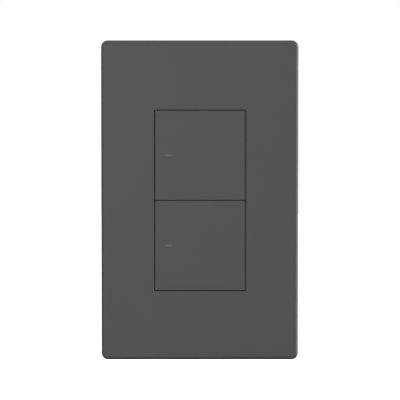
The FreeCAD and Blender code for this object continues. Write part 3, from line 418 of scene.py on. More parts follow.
# %% Fibre and sheet
def fibrous(name, dark, light, fibre_mm, thin, sheen, depth_mm):
    """Pressed fibres: two sets of long specks crossing each other."""
    material, tree, surface, place = start_finish(name, IOR=1.5)
    specks = []
    for stretch in ((thin, 1.0, 1.0), (1.0, 1.0, thin)):
        squeezed = add(tree, "ShaderNodeMapping", {"Vector": place, "Scale": stretch})
        specks.append(add(tree, "ShaderNodeTexNoise", {
            "Vector": squeezed.outputs["Vector"], "Scale": per_metre(fibre_mm),
            "Detail": 3.0, "Roughness": NOISE_ROUGHNESS}).outputs["Fac"])
    both = add(tree, "ShaderNodeMath", {0: specks[0], 1: specks[1]},
               operation="MAXIMUM").outputs["Value"]
    wire_finish(tree, surface, (both, dark, light, 0.4, 0.75),
                (both, sheen + SHEEN_SPREAD, sheen - SHEEN_SPREAD), (both, depth_mm))
    return material


# Vulcanised fibre retainers: brick red, hard and horn-like.
finishes["retainer_fibre"] = fibrous("pressed_vulcanised_fibre", "#6e2a20", "#8a3c2e",
                                     0.5, 0.15, 0.55, 0.008)
# Insulating paper between the boards: grey-green pressed board.
finishes["partition_sheet"] = fibrous("pressed_insulating_paper", "#6f7468", "#8b9081",
                                      0.6, 0.12, 0.72, 0.010)
print("finishes so far:", len(finishes))

# %% [markdown]
# ## Granular and liquid surfaces
# Ferrite is a sintered powder and foam is full of tiny cells, so both follow Voronoi
# cells: the distance to the nearest centre is dark in the middle of a grain.

# %% Ferrite and foam
def granular(name, dark, light, cell_mm, low, high, depth_mm, ior):
    """Packed grains or open cells, seen one by one."""
    material, tree, surface, place = start_finish(name, IOR=ior)
    grains = add(tree, "ShaderNodeTexVoronoi", {
        "Vector": place, "Scale": per_metre(cell_mm)}).outputs["Distance"]
    wire_finish(tree, surface, (grains, dark, light, 0.0, 0.8), (grains, low, high),
                (grains, depth_mm))
    return material


# Sintered ferrite: almost black ceramic, matt where pressed and sparkling at grains.
finishes["ferrite"] = granular("sintered_ferrite", "#26272a", "#3a3b3f",
                               0.35, 0.35, 0.62, 0.015, 2.2)
# Black foam: a dry skin full of tiny open cells, which swallows nearly all light. It is
# painted shade, laid behind the gaps round the keys to make them dark.
finishes["foam"] = granular("gap_shade_black_foam", "#08080a", "#131315",
                            0.35, 0.80, 0.95, 0.040, 1.5)
print("finishes so far:", len(finishes))

# %% [markdown]
# The varistor is dipped in epoxy and the bars are polished clear plastic. A clear coat
# over slow waves gives both the deep gloss of a liquid that has set.

# %% Dipped epoxy and smoked bars
def clear_coated(name, dark, light, wave_mm, low, high, depth_mm, ior, coat):
    """A set liquid: slow waves of colour and sheen under a clear coat."""
    material, tree, surface, place = start_finish(name, IOR=ior, Coat_Weight=coat)
    waves = add(tree, "ShaderNodeTexNoise", {
        "Vector": place, "Scale": per_metre(wave_mm), "Detail": 2.0,
        "Roughness": NOISE_ROUGHNESS}).outputs["Fac"]
    wire_finish(tree, surface, (waves, dark, light, SOFT_START, SOFT_STOP),
                (waves, low, high), (waves, depth_mm))
    return material


# Dipped epoxy of the varistor: blue and glossy, with sags where it ran and set.
finishes["varistor_blue"] = clear_coated("dipped_epoxy_coating", "#1c4fa0", "#2a62b8",
                                         1.8, 0.25, 0.38, 0.08, 1.55, 0.4)
# Smoked bars in the keys: polished clear plastic dyed grey, a little lighter than them.
finishes["smoke_lens"] = clear_coated("smoked_clear_bar", "#4d4d4d", "#525252",
                                      0.8, 0.34, 0.42, 0.002, 1.49, 0.2)
print("finishes so far:", len(finishes))

# %% [markdown]
# ## Winding tape
# The transformer's winding is wrapped in polyester tape. One lap ends near the middle
# and shows as a step there. A saw-tooth wave longer than the winding is tall gives that
# one sudden drop, and a slow climb in colour on either side of it.

# %% Winding tape
# At scale 1 a wave is tau / 20 metres long, so this scale makes it about 31 mm.
TAPE_SCALE = 10.0
material, tree, surface, place = start_finish("wound_polyester_tape", IOR=1.6)
laps = add(tree, "ShaderNodeTexWave", {
    "Vector": place, "Scale": TAPE_SCALE, "Distortion": 0.4},
    wave_profile="SAW", bands_direction="Z").outputs["Fac"]
smears = add(tree, "ShaderNodeTexNoise", {
    "Vector": place, "Scale": per_metre(2.0), "Detail": 4.0,
    "Roughness": NOISE_ROUGHNESS}).outputs["Fac"]
wire_finish(tree, surface, (laps, "#c8a437", "#e0c255", 0.0, 0.9),
            (smears, 0.22, 0.34), (laps, 0.03))
finishes["winding_tape"] = material
print("one tape wave is", round(math.tau / 20 / TAPE_SCALE / MM), "mm long")

# %% [markdown]
# ## Two finishes on one part
# The fuse is a ceramic tube with nickel caps, the capacitors have a pale stripe on their
# sleeve, and the light has a yellow window in a white cup. Each split is where one
# coordinate passes a level, so a comparison of that coordinate chooses the colour.

# %% Banded finishes
def banded(name, axis, band, outside, inside, speck_mm, stretch, sheen, depth_mm, ior,
           metal_outside=False):
    """A finish with a band of another colour between two levels of an axis, in metres."""
    material, tree, surface, place = start_finish(name, IOR=ior)
    level = add(tree, "ShaderNodeSeparateXYZ", {"Vector": place}).outputs[axis]
    within = add(tree, "ShaderNodeMath", {
        0: level, 1: sum(band) / 2, 2: (band[1] - band[0]) / 2},
        operation="COMPARE").outputs["Value"]
    squeezed = add(tree, "ShaderNodeMapping", {"Vector": place, "Scale": stretch})
    specks = add(tree, "ShaderNodeTexNoise", {
        "Vector": squeezed.outputs["Vector"], "Scale": per_metre(speck_mm),
        "Detail": 4.0, "Roughness": NOISE_ROUGHNESS}).outputs["Fac"]
    wire_finish(tree, surface, (within, outside, inside, 0.0, 1.0), (specks, *sheen),
                (specks, depth_mm))
    if metal_outside:
        metal = add(tree, "ShaderNodeMath", {0: 1.0, 1: within}, operation="SUBTRACT")
        tree.links.new(metal.outputs["Value"], surface.inputs["Metallic"])
    return material


print("a band lies between two levels of one axis")

# %% [markdown]
# Three parts use it. The levels come from the drawn parts' own boxes, so the caps, the
# stripe and the window stay in place if a part moves.

# %% Fuse, sleeves and lights
# Ceramic tube, unglazed and slightly warm, between two nickel caps.
CAP_LENGTH = 1.6 * MM
low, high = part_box("fuse")
finishes["fuse_body"] = banded(
    "ceramic_fuse_with_nickel_caps", "X", (low.x + CAP_LENGTH, high.x - CAP_LENGTH),
    "#b3ad9f", "#e8e6df", 0.7, (0.2, 1.0, 1.0), (0.22, 0.40), 0.006, 1.6, True)

# Heat-shrunk vinyl: blue-black, in tiny wrinkles, with the stripe of the negative side.
STRIPE = 1.4 * MM
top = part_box("output_capacitor")[1].z
finishes["capacitor_sleeve"] = banded(
    "shrunk_vinyl_sleeve", "Z", (top - STRIPE, top + STRIPE), "#15161c", "#a9abb2",
    1.2, (1.0, 0.3, 1.0), (0.24, 0.38), 0.02, 1.54)

# White reflector cup with a window of yellow phosphor in its middle.
WINDOW = 0.75 * MM
low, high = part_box("status_led_upper")
middle = (low.x + high.x) / 2
finishes["led_case"] = banded(
    "led_reflector_and_phosphor", "X", (middle - WINDOW, middle + WINDOW), "#e6e4dc",
    "#d8c45a", 0.4, (1.0, 1.0, 1.0), (0.30, 0.45), 0.004, 1.5)
print("finishes so far:", len(finishes))

# %% [markdown]
# ## Circuit boards
# The boards are glass cloth in epoxy under a green lacquer. Copper tracks stand a little
# proud under the lacquer and show as a lighter, raised pattern. Cells whose distance is
# the longest of the three steps have borders that run like tracks, straight with squared
# turns: a border is where the nearest and the second nearest cell are almost equally far.

# %% Circuit board
TRACK_CELL_MM = 4.2
TRACK_WANDER = 0.55
TRACK_START, TRACK_STOP = 0.10, 0.16
material, tree, surface, place = start_finish("lacquered_glass_epoxy_board", IOR=1.55,
                                              Coat_Weight=0.3)
second, nearest = [add(tree, "ShaderNodeTexVoronoi", {
    "Vector": place, "Scale": per_metre(TRACK_CELL_MM), "Randomness": TRACK_WANDER},
    feature=feature, distance="CHEBYCHEV").outputs["Distance"]
    for feature in ("F2", "F1")]
apart = add(tree, "ShaderNodeMath", {0: second, 1: nearest}, operation="SUBTRACT")
copper = add(tree, "ShaderNodeMapRange", {
    "Value": apart.outputs["Value"], "From Min": TRACK_START, "From Max": TRACK_STOP,
    "To Min": 1.0, "To Max": 0.0}).outputs["Result"]
cloth = add(tree, "ShaderNodeTexNoise", {
    "Vector": place, "Scale": per_metre(0.5), "Detail": 4.0,
    "Roughness": NOISE_ROUGHNESS}).outputs["Fac"]
wire_finish(tree, surface, (copper, "#0f4a2b", "#1d6b3f", 0.0, 1.0),
            (cloth, 0.26, 0.36), (copper, 0.035))
finishes["board_green"] = material
print("board tree nodes:", len(tree.nodes))

# %% [markdown]
# Each piece of the frame names the slot that it takes its finish from. The record lists
# them, so one loop dresses every piece, and a missing finish would stop the lesson.

# %% Dress the frame
for part in frame["record"]["subparts"]:
    for material_slot in nodes[part["node"]].material_slots:
        material_slot.material = finishes[part["material_slot"]]
print("finishes:", len(finishes), "for", len(nodes), "pieces")

# %% [markdown]
# ## Shapes that repeat or follow a path
# Threads, springs and windings are all a section swept along a helix. Geometry Nodes is
# the natural tool: one tree holds the rule, and its inputs give each use its own sizes.
# Every tree here starts and ends alike. It takes a mesh of loose points and some named
# inputs, and stands its shape on each point, so these two steps are helpers.

# %% Start and end a tree
def start_tree(name, **inputs):
    """A Geometry Nodes tree with a geometry input, named inputs and an output."""
    tree = bpy.data.node_groups.new(name, "GeometryNodeTree")
    face = tree.interface
    face.new_socket(name="Geometry", in_out="INPUT", socket_type="NodeSocketGeometry")
    for label, kind in inputs.items():
        face.new_socket(name=label.replace("_", " "), in_out="INPUT", socket_type=kind)
    face.new_socket(name="Geometry", in_out="OUTPUT", socket_type="NodeSocketGeometry")
    return tree, add(tree, "NodeGroupInput").outputs


def end_tree(tree, source, geometry):
    """End a tree: stand the shape at each point, make it real and give its material."""
    spots = add(tree, "GeometryNodeMeshToPoints", {"Mesh": source["Geometry"]})
    placed = add(tree, "GeometryNodeInstanceOnPoints", {
        "Points": spots.outputs["Points"], "Instance": geometry,
        "Rotation": source["Turn"]})
    real = add(tree, "GeometryNodeRealizeInstances",
               {"Geometry": placed.outputs["Instances"]})
    dressed = add(tree, "GeometryNodeSetMaterial", {
        "Geometry": real.outputs["Geometry"], "Material": source["Material"]})
    add(tree, "NodeGroupOutput", {"Geometry": dressed.outputs["Geometry"]})
    return tree


FLOAT, VECTOR = "NodeSocketFloat", "NodeSocketVector"
MATERIAL, ROTATION = "NodeSocketMaterial", "NodeSocketRotation"
print("kinds of tree input:", FLOAT, VECTOR, MATERIAL, ROTATION)

# %% [markdown]
# To use a tree, a modifier runs it on the points, and the evaluated result is copied to
# a plain mesh. The modifier and its object are then thrown away, so nothing live stays.
# Each input is set by its identifier, before the object is first evaluated.

# %% Run a tree
def grow(name, tree, points, values):
    """A plain mesh made by a tree that stands its shape on each of the points."""
    seeds = bpy.data.meshes.new(name)
    seeds.from_pydata([tuple(point) for point in points], [], [])
    maker = bpy.data.objects.new(name + "_maker", seeds)
    scene.collection.objects.link(maker)
    modifier = maker.modifiers.new("maker", "NODES")
    modifier.node_group = tree
    for item in tree.interface.items_tree:
        if item.in_out == "INPUT" and item.name in values:
            modifier[item.identifier] = values[item.name]
    bpy.context.view_layer.update()
    ready = maker.evaluated_get(bpy.context.evaluated_depsgraph_get())
    mesh = bpy.data.meshes.new_from_object(ready)
    bpy.data.objects.remove(maker)
    return mesh


print("a tree runs once for each mesh")

# %% [markdown]
# A finished piece is one mesh with one material. It rides on a body, takes its finish
# from a slot or from a finish named instead, and hides the drawn parts it stands for.

# %% Make a piece
SHARP_ANGLE = math.radians(32)


def add_piece(name, meshes, body, slot, stands_for=(), finish=None):
    """One piece from one or more meshes, riding on a body and dressed from a slot."""
    shape = bmesh.new()
    for mesh in meshes:
        shape.from_mesh(mesh)
    mesh = bpy.data.meshes.new(name)
    shape.to_mesh(mesh)
    shape.free()
    mesh.materials.clear()
    mesh.materials.append(finishes[finish or slot])
    for face in mesh.polygons:
        face.material_index = 0
    mesh.shade_smooth()
    mesh.set_sharp_from_angle(angle=SHARP_ANGLE)
    piece = bpy.data.objects.new(name, mesh)
    scene.collection.objects.link(piece)
    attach(piece, body)
    if stands_for:
        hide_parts(*stands_for)
    print(f"{name}: {len(mesh.polygons)} faces")
    return piece


print("edges sharper than", round(math.degrees(SHARP_ANGLE)), "degrees stay crisp")

# %% [markdown]
# ### Screw threads
# A thread is a ridge that winds round a core. It could be a texture, but in a close view
# its outline would stay straight. Here the ridge is a diamond section swept along a
# helix, half sunk into the core, so that its outer corner makes the crest.

# %% Thread tree
TURN_STEPS = 24
DIAMOND_SIDES = 4
tree, source = start_tree("thread", Core=FLOAT, Depth=FLOAT, Pitch=FLOAT, Length=FLOAT,
                          Turn=ROTATION, Material=MATERIAL)
turns = add(tree, "ShaderNodeMath", {0: source["Length"], 1: source["Pitch"]},
            operation="DIVIDE").outputs["Value"]
helix = add(tree, "GeometryNodeCurveSpiral", {
    "Resolution": TURN_STEPS, "Rotations": turns, "Start Radius": source["Core"],
    "End Radius": source["Core"], "Height": source["Length"]})
upright = add(tree, "GeometryNodeSetCurveNormal", {"Curve": helix.outputs["Curve"]},
              mode="Z_UP")
section = add(tree, "GeometryNodeCurvePrimitiveCircle", {
    "Resolution": DIAMOND_SIDES, "Radius": source["Depth"]})
ridge = add(tree, "GeometryNodeCurveToMesh", {
    "Curve": upright.outputs["Curve"], "Profile Curve": section.outputs["Curve"],
    "Fill Caps": True})
thread_tree = end_tree(tree, source, ridge.outputs["Mesh"])
print("thread tree nodes:", len(tree.nodes))

# %% [markdown]
# The heads are right as they were drawn, driver slots and all. So each group of screws
# is a copy of its drawn mesh, with its loose triangles merged and its shanks drawn in to
# the core of the thread, joined by the ridges that the tree grows on every screw.

# %% From a drawn screw to a threaded one
MERGE, END_SLACK, SIDE_SLACK = 0.001, 0.01, 0.02
AXES = {"X": 0, "Y": 1, "Z": 2}
TURNS = {"X": (0, math.pi / 2, 0), "Y": (-math.pi / 2, 0, 0)}


def screws(name, node, slot, axis, major, pitch, depth, shanks, threads):
    """Threaded screws that stand for a drawn group.

    Lengths are millimetres. shanks gives, for each screw, its centre across the axis
    and the span of its shank; threads gives the start of each thread and its length,
    and the first length is used for every thread.
    """
    along = AXES[axis]
    across = [place for place in range(3) if place != along]
    shape = bmesh.new()
    shape.from_mesh(nodes[node].data)
    bmesh.ops.remove_doubles(shape, verts=shape.verts, dist=MERGE * MM)
    core = major - depth
    for vertex in shape.verts:
        for centre, span in shanks:
            level = vertex.co[along] / MM
            off = [vertex.co[place] / MM - middle for place, middle in zip(across, centre)]
            beside = span[0] - END_SLACK < level < span[1] + END_SLACK
            if beside and math.hypot(*off) < major + SIDE_SLACK:
                for place, middle, reach in zip(across, centre, off):
                    vertex.co[place] = (middle + reach * core / major) * MM
    blank = bpy.data.meshes.new(name + "_blank")
    shape.to_mesh(blank)
    shape.free()
    points = []
    for (centre, _), (start, _) in zip(shanks, threads):
        point = [middle * MM for middle in centre]
        point.insert(along, (start + depth) * MM)
        points.append(point)
    length = threads[0][1] - 2 * depth
    ridges = grow(name + "_ridges", thread_tree, points, {
        "Core": core * MM, "Depth": depth * MM, "Pitch": pitch * MM,
        "Length": length * MM, "Turn": TURNS[axis], "Material": finishes[slot]})
    return add_piece(name, [blank, ridges], "chassis", slot, [node])


print("points closer than", MERGE, "mm are merged")

# %% [markdown]
# The two box screws and the two cover screws have nearly the same coarse thread. They
# stand one above the other, at the standard spacings of a single switch plate.

# %% Box and cover screws
BOX_SCREW_Z = 83.34 / 2
COVER_SCREW_Z = 96.84 / 2
screws("threaded_box_screws", "mounting_screws", "zinc_steel", "Y",
       major=1.75, pitch=0.79, depth=0.28,
       shanks=[((0, side * BOX_SCREW_Z), (0.3, 21.5)) for side in (-1, 1)],
       threads=[(0.8, 19.2)] * 2)
screws("threaded_plate_screws", "plate_screws", "zinc_steel", "Y",
       major=1.7, pitch=0.8, depth=0.25,
       shanks=[((0, side * COVER_SCREW_Z), (-1.0, 4.0)) for side in (-1, 1)],
       threads=[(-0.6, 4.5)] * 2)

# %% [markdown]
# The housing's four screws are smooth for most of their length and threaded only where
# they bite into the strap.

# %% Housing screws
HOUSE_HEAD = 2.3
SHANK_END, BITE = 8.0, 9.0
low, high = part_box("housing_screws")
column_x, column_z = high.x / MM - HOUSE_HEAD, high.z / MM - HOUSE_HEAD
corners = [(a * column_x, b * column_z) for a in (-1, 1) for b in (-1, 1)]
screws("threaded_housing_screws", "housing_screws", "zinc_steel", "Y",
       major=1.2, pitch=0.6, depth=0.2,
       shanks=[(corner, (low.y / MM, SHANK_END)) for corner in corners],
       threads=[(low.y / MM, BITE)] * len(corners))

# %% [markdown]
# The earth screw lies across the switch, so the tree's shape is turned onto the X axis.

# %% Earth screw
EARTH_HEAD, EARTH_DEPTH = 3.2, 2.2
NECK_GAP, EARTH_PLAIN = 0.1, 1.3
low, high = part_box("ground_screw")
earth_y, earth_z = low.y / MM + EARTH_HEAD, low.z / MM + EARTH_HEAD
neck = high.x / MM - EARTH_DEPTH
screws("threaded_earth_screw", "ground_screw", "green_steel", "X",
       major=1.6, pitch=0.7, depth=0.24,
       shanks=[((earth_y, earth_z), (low.x / MM, neck - NECK_GAP))],
       threads=[(low.x / MM, neck - low.x / MM - EARTH_PLAIN)])

# %% [markdown]
# Four terminal screws lie across the switch too, two from each side. Each one runs from
# just behind its contact to the seat under its head.

# %% Terminal screws
TERMINAL_HEAD, TERMINAL_DEPTH = 2.9, 1.5
TIP_REACH = 1.0
low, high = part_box("terminal_screws")
block_z = high.z / MM - TERMINAL_HEAD
middle_y = (low.y + high.y) / 2 / MM
seat = high.x / MM - TERMINAL_DEPTH
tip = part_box("contact_neutral")[0].x / MM - TIP_REACH
shanks, threads = [], []
for up in (-1, 1):
    shanks += [((middle_y, up * block_z), (tip, seat - NECK_GAP)),
               ((middle_y, up * block_z), (NECK_GAP - seat, -tip))]
    threads += [(tip, seat - tip), (-seat, seat - tip)]
screws("threaded_terminal_screws", "terminal_screws", "zinc_steel", "X",
       major=1.75, pitch=0.8, depth=0.26, shanks=shanks, threads=threads)

# %% [markdown]
# ### Return springs
# A real compression spring has open turns in its middle and closed turns at its ends, so
# that it stands flat. The tree bends a straight line of points into that helix: the
# angle grows evenly, while the height rests at both ends and rises in between.

# %% Spring tree
TURN_POINTS, WIRE_SIDES = 22, 10
CLOSED_SHARE, CLOSED_RISE = 0.13, 4.2
tree, source = start_tree("return_spring", Coil=FLOAT, Wire=FLOAT, Height=FLOAT,
                          Turns=FLOAT, Turn=ROTATION, Material=MATERIAL)
line = add(tree, "GeometryNodeCurvePrimitiveLine", {"End": (0.0, 0.0, 1.0)})
steps = add(tree, "ShaderNodeMath", {0: source["Turns"], 1: float(TURN_POINTS)},
            operation="MULTIPLY")
dense = add(tree, "GeometryNodeResampleCurve", {
    "Curve": line.outputs["Curve"], "Count": steps.outputs["Value"]})
share = add(tree, "GeometryNodeSplineParameter").outputs["Factor"]
angle = add(tree, "ShaderNodeMath", {
    0: add(tree, "ShaderNodeMath", {0: share, 1: source["Turns"]},
           operation="MULTIPLY").outputs["Value"],
    1: math.tau}, operation="MULTIPLY").outputs["Value"]
rise = add(tree, "ShaderNodeMapRange", {
    "Value": share, "From Min": CLOSED_SHARE, "From Max": 1 - CLOSED_SHARE,
    "To Min": 0.0, "To Max": 1.0}).outputs["Result"]
rest = add(tree, "ShaderNodeMath", {0: source["Wire"], 1: CLOSED_RISE},
           operation="MULTIPLY")
lift = add(tree, "ShaderNodeMath", {0: share, 1: rest.outputs["Value"]},
           operation="MULTIPLY")
open_part = add(tree, "ShaderNodeMath", {0: source["Height"], 1: rest.outputs["Value"]},
                operation="SUBTRACT")
height = add(tree, "ShaderNodeMath", {
    0: rise, 1: open_part.outputs["Value"], 2: lift.outputs["Value"]},
    operation="MULTIPLY_ADD").outputs["Value"]
wave = {}
for side, operation in (("X", "COSINE"), ("Y", "SINE")):
    turned = add(tree, "ShaderNodeMath", {0: angle}, operation=operation)
    wave[side] = add(tree, "ShaderNodeMath", {
        0: turned.outputs["Value"], 1: source["Coil"]},
        operation="MULTIPLY").outputs["Value"]
spot = add(tree, "ShaderNodeCombineXYZ", {"X": wave["X"], "Y": wave["Y"], "Z": height})
coil = add(tree, "GeometryNodeSetPosition", {
    "Geometry": dense.outputs["Curve"], "Position": spot.outputs["Vector"]})
wire = add(tree, "GeometryNodeCurvePrimitiveCircle", {
    "Resolution": WIRE_SIDES, "Radius": source["Wire"]})
body = add(tree, "GeometryNodeCurveToMesh", {
    "Curve": coil.outputs["Geometry"], "Profile Curve": wire.outputs["Curve"],
    "Fill Caps": True})
spring_tree = end_tree(tree, source, body.outputs["Mesh"])
print("spring tree nodes:", len(tree.nodes))

# %% [markdown]
# The springs stand in cups of the fixed frame and get shorter as a key is pressed. Here
# each pair is one piece that rides on the fixed frame.

# %% Return springs
SPRING_COIL, SPRING_WIRE, SPRING_TURNS = 1.6, 0.15, 7.0
for key_name in ("upper", "lower"):
    names = [f"return_spring_{key_name}_{spot_name}" for spot_name in ("top", "bottom")]
    boxes = [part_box(node_name) for node_name in names]
    wire_radius = SPRING_WIRE * MM
    points = [((box_low.x + box_high.x) / 2, box_high.y - wire_radius,
               (box_low.z + box_high.z) / 2) for box_low, box_high in boxes]
    reach = boxes[0][1].y - boxes[0][0].y - 2 * wire_radius
    springs = grow(f"springs_{key_name}", spring_tree, points, {
        "Coil": SPRING_COIL * MM, "Wire": wire_radius, "Height": reach,
        "Turns": SPRING_TURNS, "Turn": (math.pi / 2, 0, 0),
        "Material": finishes["spring_steel"]})
    piece = add_piece(f"coiled_springs_{key_name}", [springs], "chassis",
                      "spring_steel", names)
    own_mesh(piece)

# %% [markdown]
# ### Choke winding
# The choke is a ferrite spool, and its copper wire fills the waist turn by turn. The
# spring tree already winds a wire round an axis, so the same rule makes the winding
# with other sizes.

# %% Choke winding
WINDING_WIRE, WINDING_TURNS = 0.2, 10.0
SPOOL_WAIST, SPOOL_LIP = 2.9, 1.0
low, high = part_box("choke")
start = high.y - (SPOOL_LIP + WINDING_WIRE) * MM
room = high.y - low.y - 2 * (SPOOL_LIP + WINDING_WIRE) * MM
winding = grow("choke_winding", spring_tree,
               [((low.x + high.x) / 2, start, (low.z + high.z) / 2)], {
                   "Coil": (SPOOL_WAIST + WINDING_WIRE) * MM,
                   "Wire": WINDING_WIRE * MM, "Height": room, "Turns": WINDING_TURNS,
                   "Turn": (math.pi / 2, 0, 0),
                   "Material": finishes["enamelled_copper"]})
add_piece("choke_winding", [winding], "chassis", "brass", finish="enamelled_copper")

# %% [markdown]
# ### Small parts in rows
# A board carries dozens of the same small box: resistors, their tinned ends, the legs
# of a chip. One tree stands a block of a given size on every point it is fed, and the
# points come from plain Python lists, which are easier to read than a scatter.

# %% Block tree
tree, source = start_tree("block", Size=VECTOR, Turn=ROTATION, Material=MATERIAL)
cube = add(tree, "GeometryNodeMeshCube", {"Size": source["Size"]})
block_tree = end_tree(tree, source, cube.outputs["Mesh"])


def blocks(name, points, size_mm, slot):
    """A piece of equal blocks, one at each point."""
    mesh = grow(name + "_blocks", block_tree, points, {
        "Size": [side * MM for side in size_mm], "Turn": (0, 0, 0),
        "Material": finishes[slot]})
    return add_piece(name, [mesh], "chassis", slot)


print("block tree nodes:", len(tree.nodes))

# %% [markdown]
# A surface-mounted resistor is a tiny dark tile with a tinned cap on each end. The caps
# stand a hair proud of the tile, as solder does.

# %% Surface-mounted resistors
RESISTOR = (1.6, 0.45, 0.8)
END_LENGTH, END_PROUD = 0.34, 0.04
END = (END_LENGTH, RESISTOR[1] + END_PROUD, RESISTOR[2] + END_PROUD)
board_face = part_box("control_board")[0].y
rows, columns = (-27.0, -5.0, 5.0, 27.0), (-10.5, -7.0, -3.5, 0.0, 3.5, 7.0, 10.5)
centres = [(x * MM, board_face - RESISTOR[1] / 2 * MM, z * MM)
           for z in rows for x in columns]
blocks("resistor_bodies", centres, RESISTOR, "chip_epoxy")
reach = (RESISTOR[0] - END[0]) / 2 * MM
blocks("resistor_ends", [(x + side * reach, y, z) for x, y, z in centres
                         for side in (-1, 1)], END, "shield_can")

# %% [markdown]
# The controller chip has legs on all four sides. Two pieces hold them: the legs on its
# left and right, and the legs above and below, which are turned a quarter.

# %% Legs of the controller
LEG_PITCH, LEGS = 0.8, 8
LEG, LEG_THICK, LEG_WIDE = 0.9, 0.2, 0.35
chip_low, chip_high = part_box("microcontroller")
middle = (chip_low + chip_high) / 2
reach = (chip_high.x - chip_low.x) / 2 + LEG / 2 * MM
level = chip_low.y + LEG_THICK / 2 * MM
steps = [(number - (LEGS - 1) / 2) * LEG_PITCH * MM for number in range(LEGS)]
blocks("chip_side_legs", [(middle.x + side * reach, level, middle.z + step)
                          for side in (-1, 1) for step in steps],
       (LEG, LEG_THICK, LEG_WIDE), "shield_can")
blocks("chip_end_legs", [(middle.x + step, level, middle.z + side * reach)
                         for side in (-1, 1) for step in steps],
       (LEG_WIDE, LEG_THICK, LEG), "shield_can")

# %% [markdown]
# ### Solder joints
# Solder climbs a pin and sets as a small cone. Each terminal, relay and transformer foot
# gets one on the face of the power board that looks to the room.

# %% Solder tree
CONE_SIDES, CONE_STEPS = 14, 3
tree, source = start_tree("solder", Foot=FLOAT, Peak=FLOAT, Height=FLOAT, Turn=ROTATION,
                          Material=MATERIAL)
cone = add(tree, "GeometryNodeMeshCone", {
    "Vertices": CONE_SIDES, "Side Segments": CONE_STEPS, "Radius Bottom": source["Foot"],
    "Radius Top": source["Peak"], "Depth": source["Height"]})
solder_tree = end_tree(tree, source, cone.outputs["Mesh"])
print("solder tree nodes:", len(tree.nodes))

# %% [markdown]
# The joints stand where the drawn parts have their feet: under each contact's middle,
# and near the four corners of each relay and of the transformer's bobbin.

# %% Solder joints
FOOT_INSET = 1.5 * MM
FOOT, PEAK, CLIMB = 0.85 * MM, 0.3 * MM, 0.7 * MM
power_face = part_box("power_board")[0].y
joints = []
for node_name in ("contact_line", "contact_neutral", "contact_load_1", "contact_load_2"):
    low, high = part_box(node_name)
    joints.append(((low.x + high.x) / 2, (low.z + high.z) / 2))
for node_name in ("relay_upper", "relay_lower", "transformer_bobbin"):
    low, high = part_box(node_name)
    joints += [(x, z) for x in (low.x + FOOT_INSET, high.x - FOOT_INSET)
               for z in (low.z + FOOT_INSET, high.z - FOOT_INSET)]
joint_mesh = grow("solder_cones", solder_tree, [(x, power_face, z) for x, z in joints], {
    "Foot": FOOT, "Peak": PEAK, "Height": CLIMB,
    "Turn": (math.pi / 2, 0, 0), "Material": finishes["shield_can"]})
add_piece("solder_joints", [joint_mesh], "chassis", "shield_can")

# %% [markdown]
# ### Ribs on the housing
# A deep box like this is stiffened by low ribs on its end walls, which also give the
# fingers a hold. A rib is a round bar sunk more than half way into the wall, so one
# tree sweeps a circle along a line and stands it at each place.

# %% Rib tree
RIB_SIDES = 16
tree, source = start_tree("rib", Radius=FLOAT, Length=FLOAT, Turn=ROTATION,
                          Material=MATERIAL)
tip = add(tree, "ShaderNodeCombineXYZ", {"Z": source["Length"]})
line = add(tree, "GeometryNodeCurvePrimitiveLine", {"End": tip.outputs["Vector"]})
section = add(tree, "GeometryNodeCurvePrimitiveCircle", {
    "Resolution": RIB_SIDES, "Radius": source["Radius"]})
bar = add(tree, "GeometryNodeCurveToMesh", {
    "Curve": line.outputs["Curve"], "Profile Curve": section.outputs["Curve"],
    "Fill Caps": True})
rib_tree = end_tree(tree, source, bar.outputs["Mesh"])
print("rib tree nodes:", len(tree.nodes))

# %% [markdown]
# Eleven ribs stand side by side on the top wall and eleven on the bottom wall. They stop
# short of the housing's edges, as a mould's inserts do.

# %% Housing ribs
RIB_RADIUS, RIB_SUNK, RIB_PITCH, RIB_COUNT = 0.7, 0.35, 2.6, 11
RIB_START, RIB_LENGTH = 5.0, 25.0
low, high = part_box("rear_housing")
spots = [((number - (RIB_COUNT - 1) / 2) * RIB_PITCH * MM, RIB_START * MM,
          side * (high.z - RIB_SUNK * MM))
         for side in (-1, 1) for number in range(RIB_COUNT)]
ribs = grow("rib_bars", rib_tree, spots, {
    "Radius": RIB_RADIUS * MM, "Length": RIB_LENGTH * MM,
    "Turn": (-math.pi / 2, 0, 0), "Material": finishes["housing_plastic"]})
add_piece("housing_ribs", [ribs], "chassis", "housing_plastic")
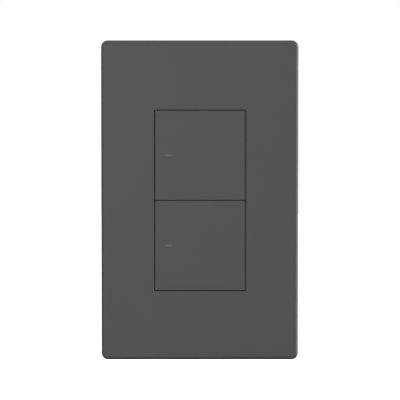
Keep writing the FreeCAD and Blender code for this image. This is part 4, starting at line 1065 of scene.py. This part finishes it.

# %% [markdown]
# ### Dark gasket behind the key gaps
# A ring of near-black foam lies on the strap behind the edges of the keys. It is painted
# shade: it makes the gaps round the keys read as dark lines. Foam is cut from a sheet, so
# the ring is a band with a flat back and softly rounded front shoulders. One function
# gives a loop of points round a rectangle, and the loops are bridged one to the next.

# %% Rounded loops
GASKET_INSIDE, GASKET_OUTSIDE = (15.95, 32.9), (18.2, 35.1)
GASKET_THICK, GASKET_SHOULDER, GASKET_LIFT = 0.3, 0.12, 0.01
INSIDE_CORNER, OUTSIDE_CORNER = 0.6, 3.0
CORNER_STEPS = 8


def round_loop(half_sizes, corner, shrink, level):
    """Points round a rectangle with round corners, drawn in by a step, at one depth."""
    half_wide, half_tall = half_sizes
    loop = []
    for quarter, (side, end) in enumerate(((1, 1), (-1, 1), (-1, -1), (1, -1))):
        for step in range(CORNER_STEPS + 1):
            turn = (quarter + step / CORNER_STEPS) * math.pi / 2
            reach = corner - shrink
            loop.append(((side * (half_wide - corner) + reach * math.cos(turn)) * MM,
                         level * MM,
                         (end * (half_tall - corner) + reach * math.sin(turn)) * MM))
    return loop


print("points in a loop:", len(round_loop(GASKET_OUTSIDE, OUTSIDE_CORNER, 0, 0)))

# %% [markdown]
# Six loops go once round the section: up the outside, over the front, down the inside.
# The last is bridged back to the first, so the band is closed all the way round.

# %% Gasket band
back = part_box("yoke")[0].y / MM - GASKET_LIFT
front = back - GASKET_THICK
shoulder = front + GASKET_SHOULDER
loops = [round_loop(GASKET_OUTSIDE, OUTSIDE_CORNER, 0, back),
         round_loop(GASKET_OUTSIDE, OUTSIDE_CORNER, 0, shoulder),
         round_loop(GASKET_OUTSIDE, OUTSIDE_CORNER, GASKET_SHOULDER, front),
         round_loop(GASKET_INSIDE, INSIDE_CORNER, -GASKET_SHOULDER, front),
         round_loop(GASKET_INSIDE, INSIDE_CORNER, 0, shoulder),
         round_loop(GASKET_INSIDE, INSIDE_CORNER, 0, back)]
shape = bmesh.new()
rows = [[shape.verts.new(point) for point in loop] for loop in loops]
for row, after in zip(rows, rows[1:] + rows[:1]):
    for place in range(len(row)):
        ahead = (place + 1) % len(row)
        shape.faces.new((row[place], row[ahead], after[ahead], after[place]))
bmesh.ops.recalc_face_normals(shape, faces=shape.faces)
band = bpy.data.meshes.new("gasket_band")
shape.to_mesh(band)
shape.free()

# The near-black ring is painted shade that darkens the gaps round the keys.
add_piece("gap_shade_gasket", [band], "chassis", "black_plastic", finish="foam")
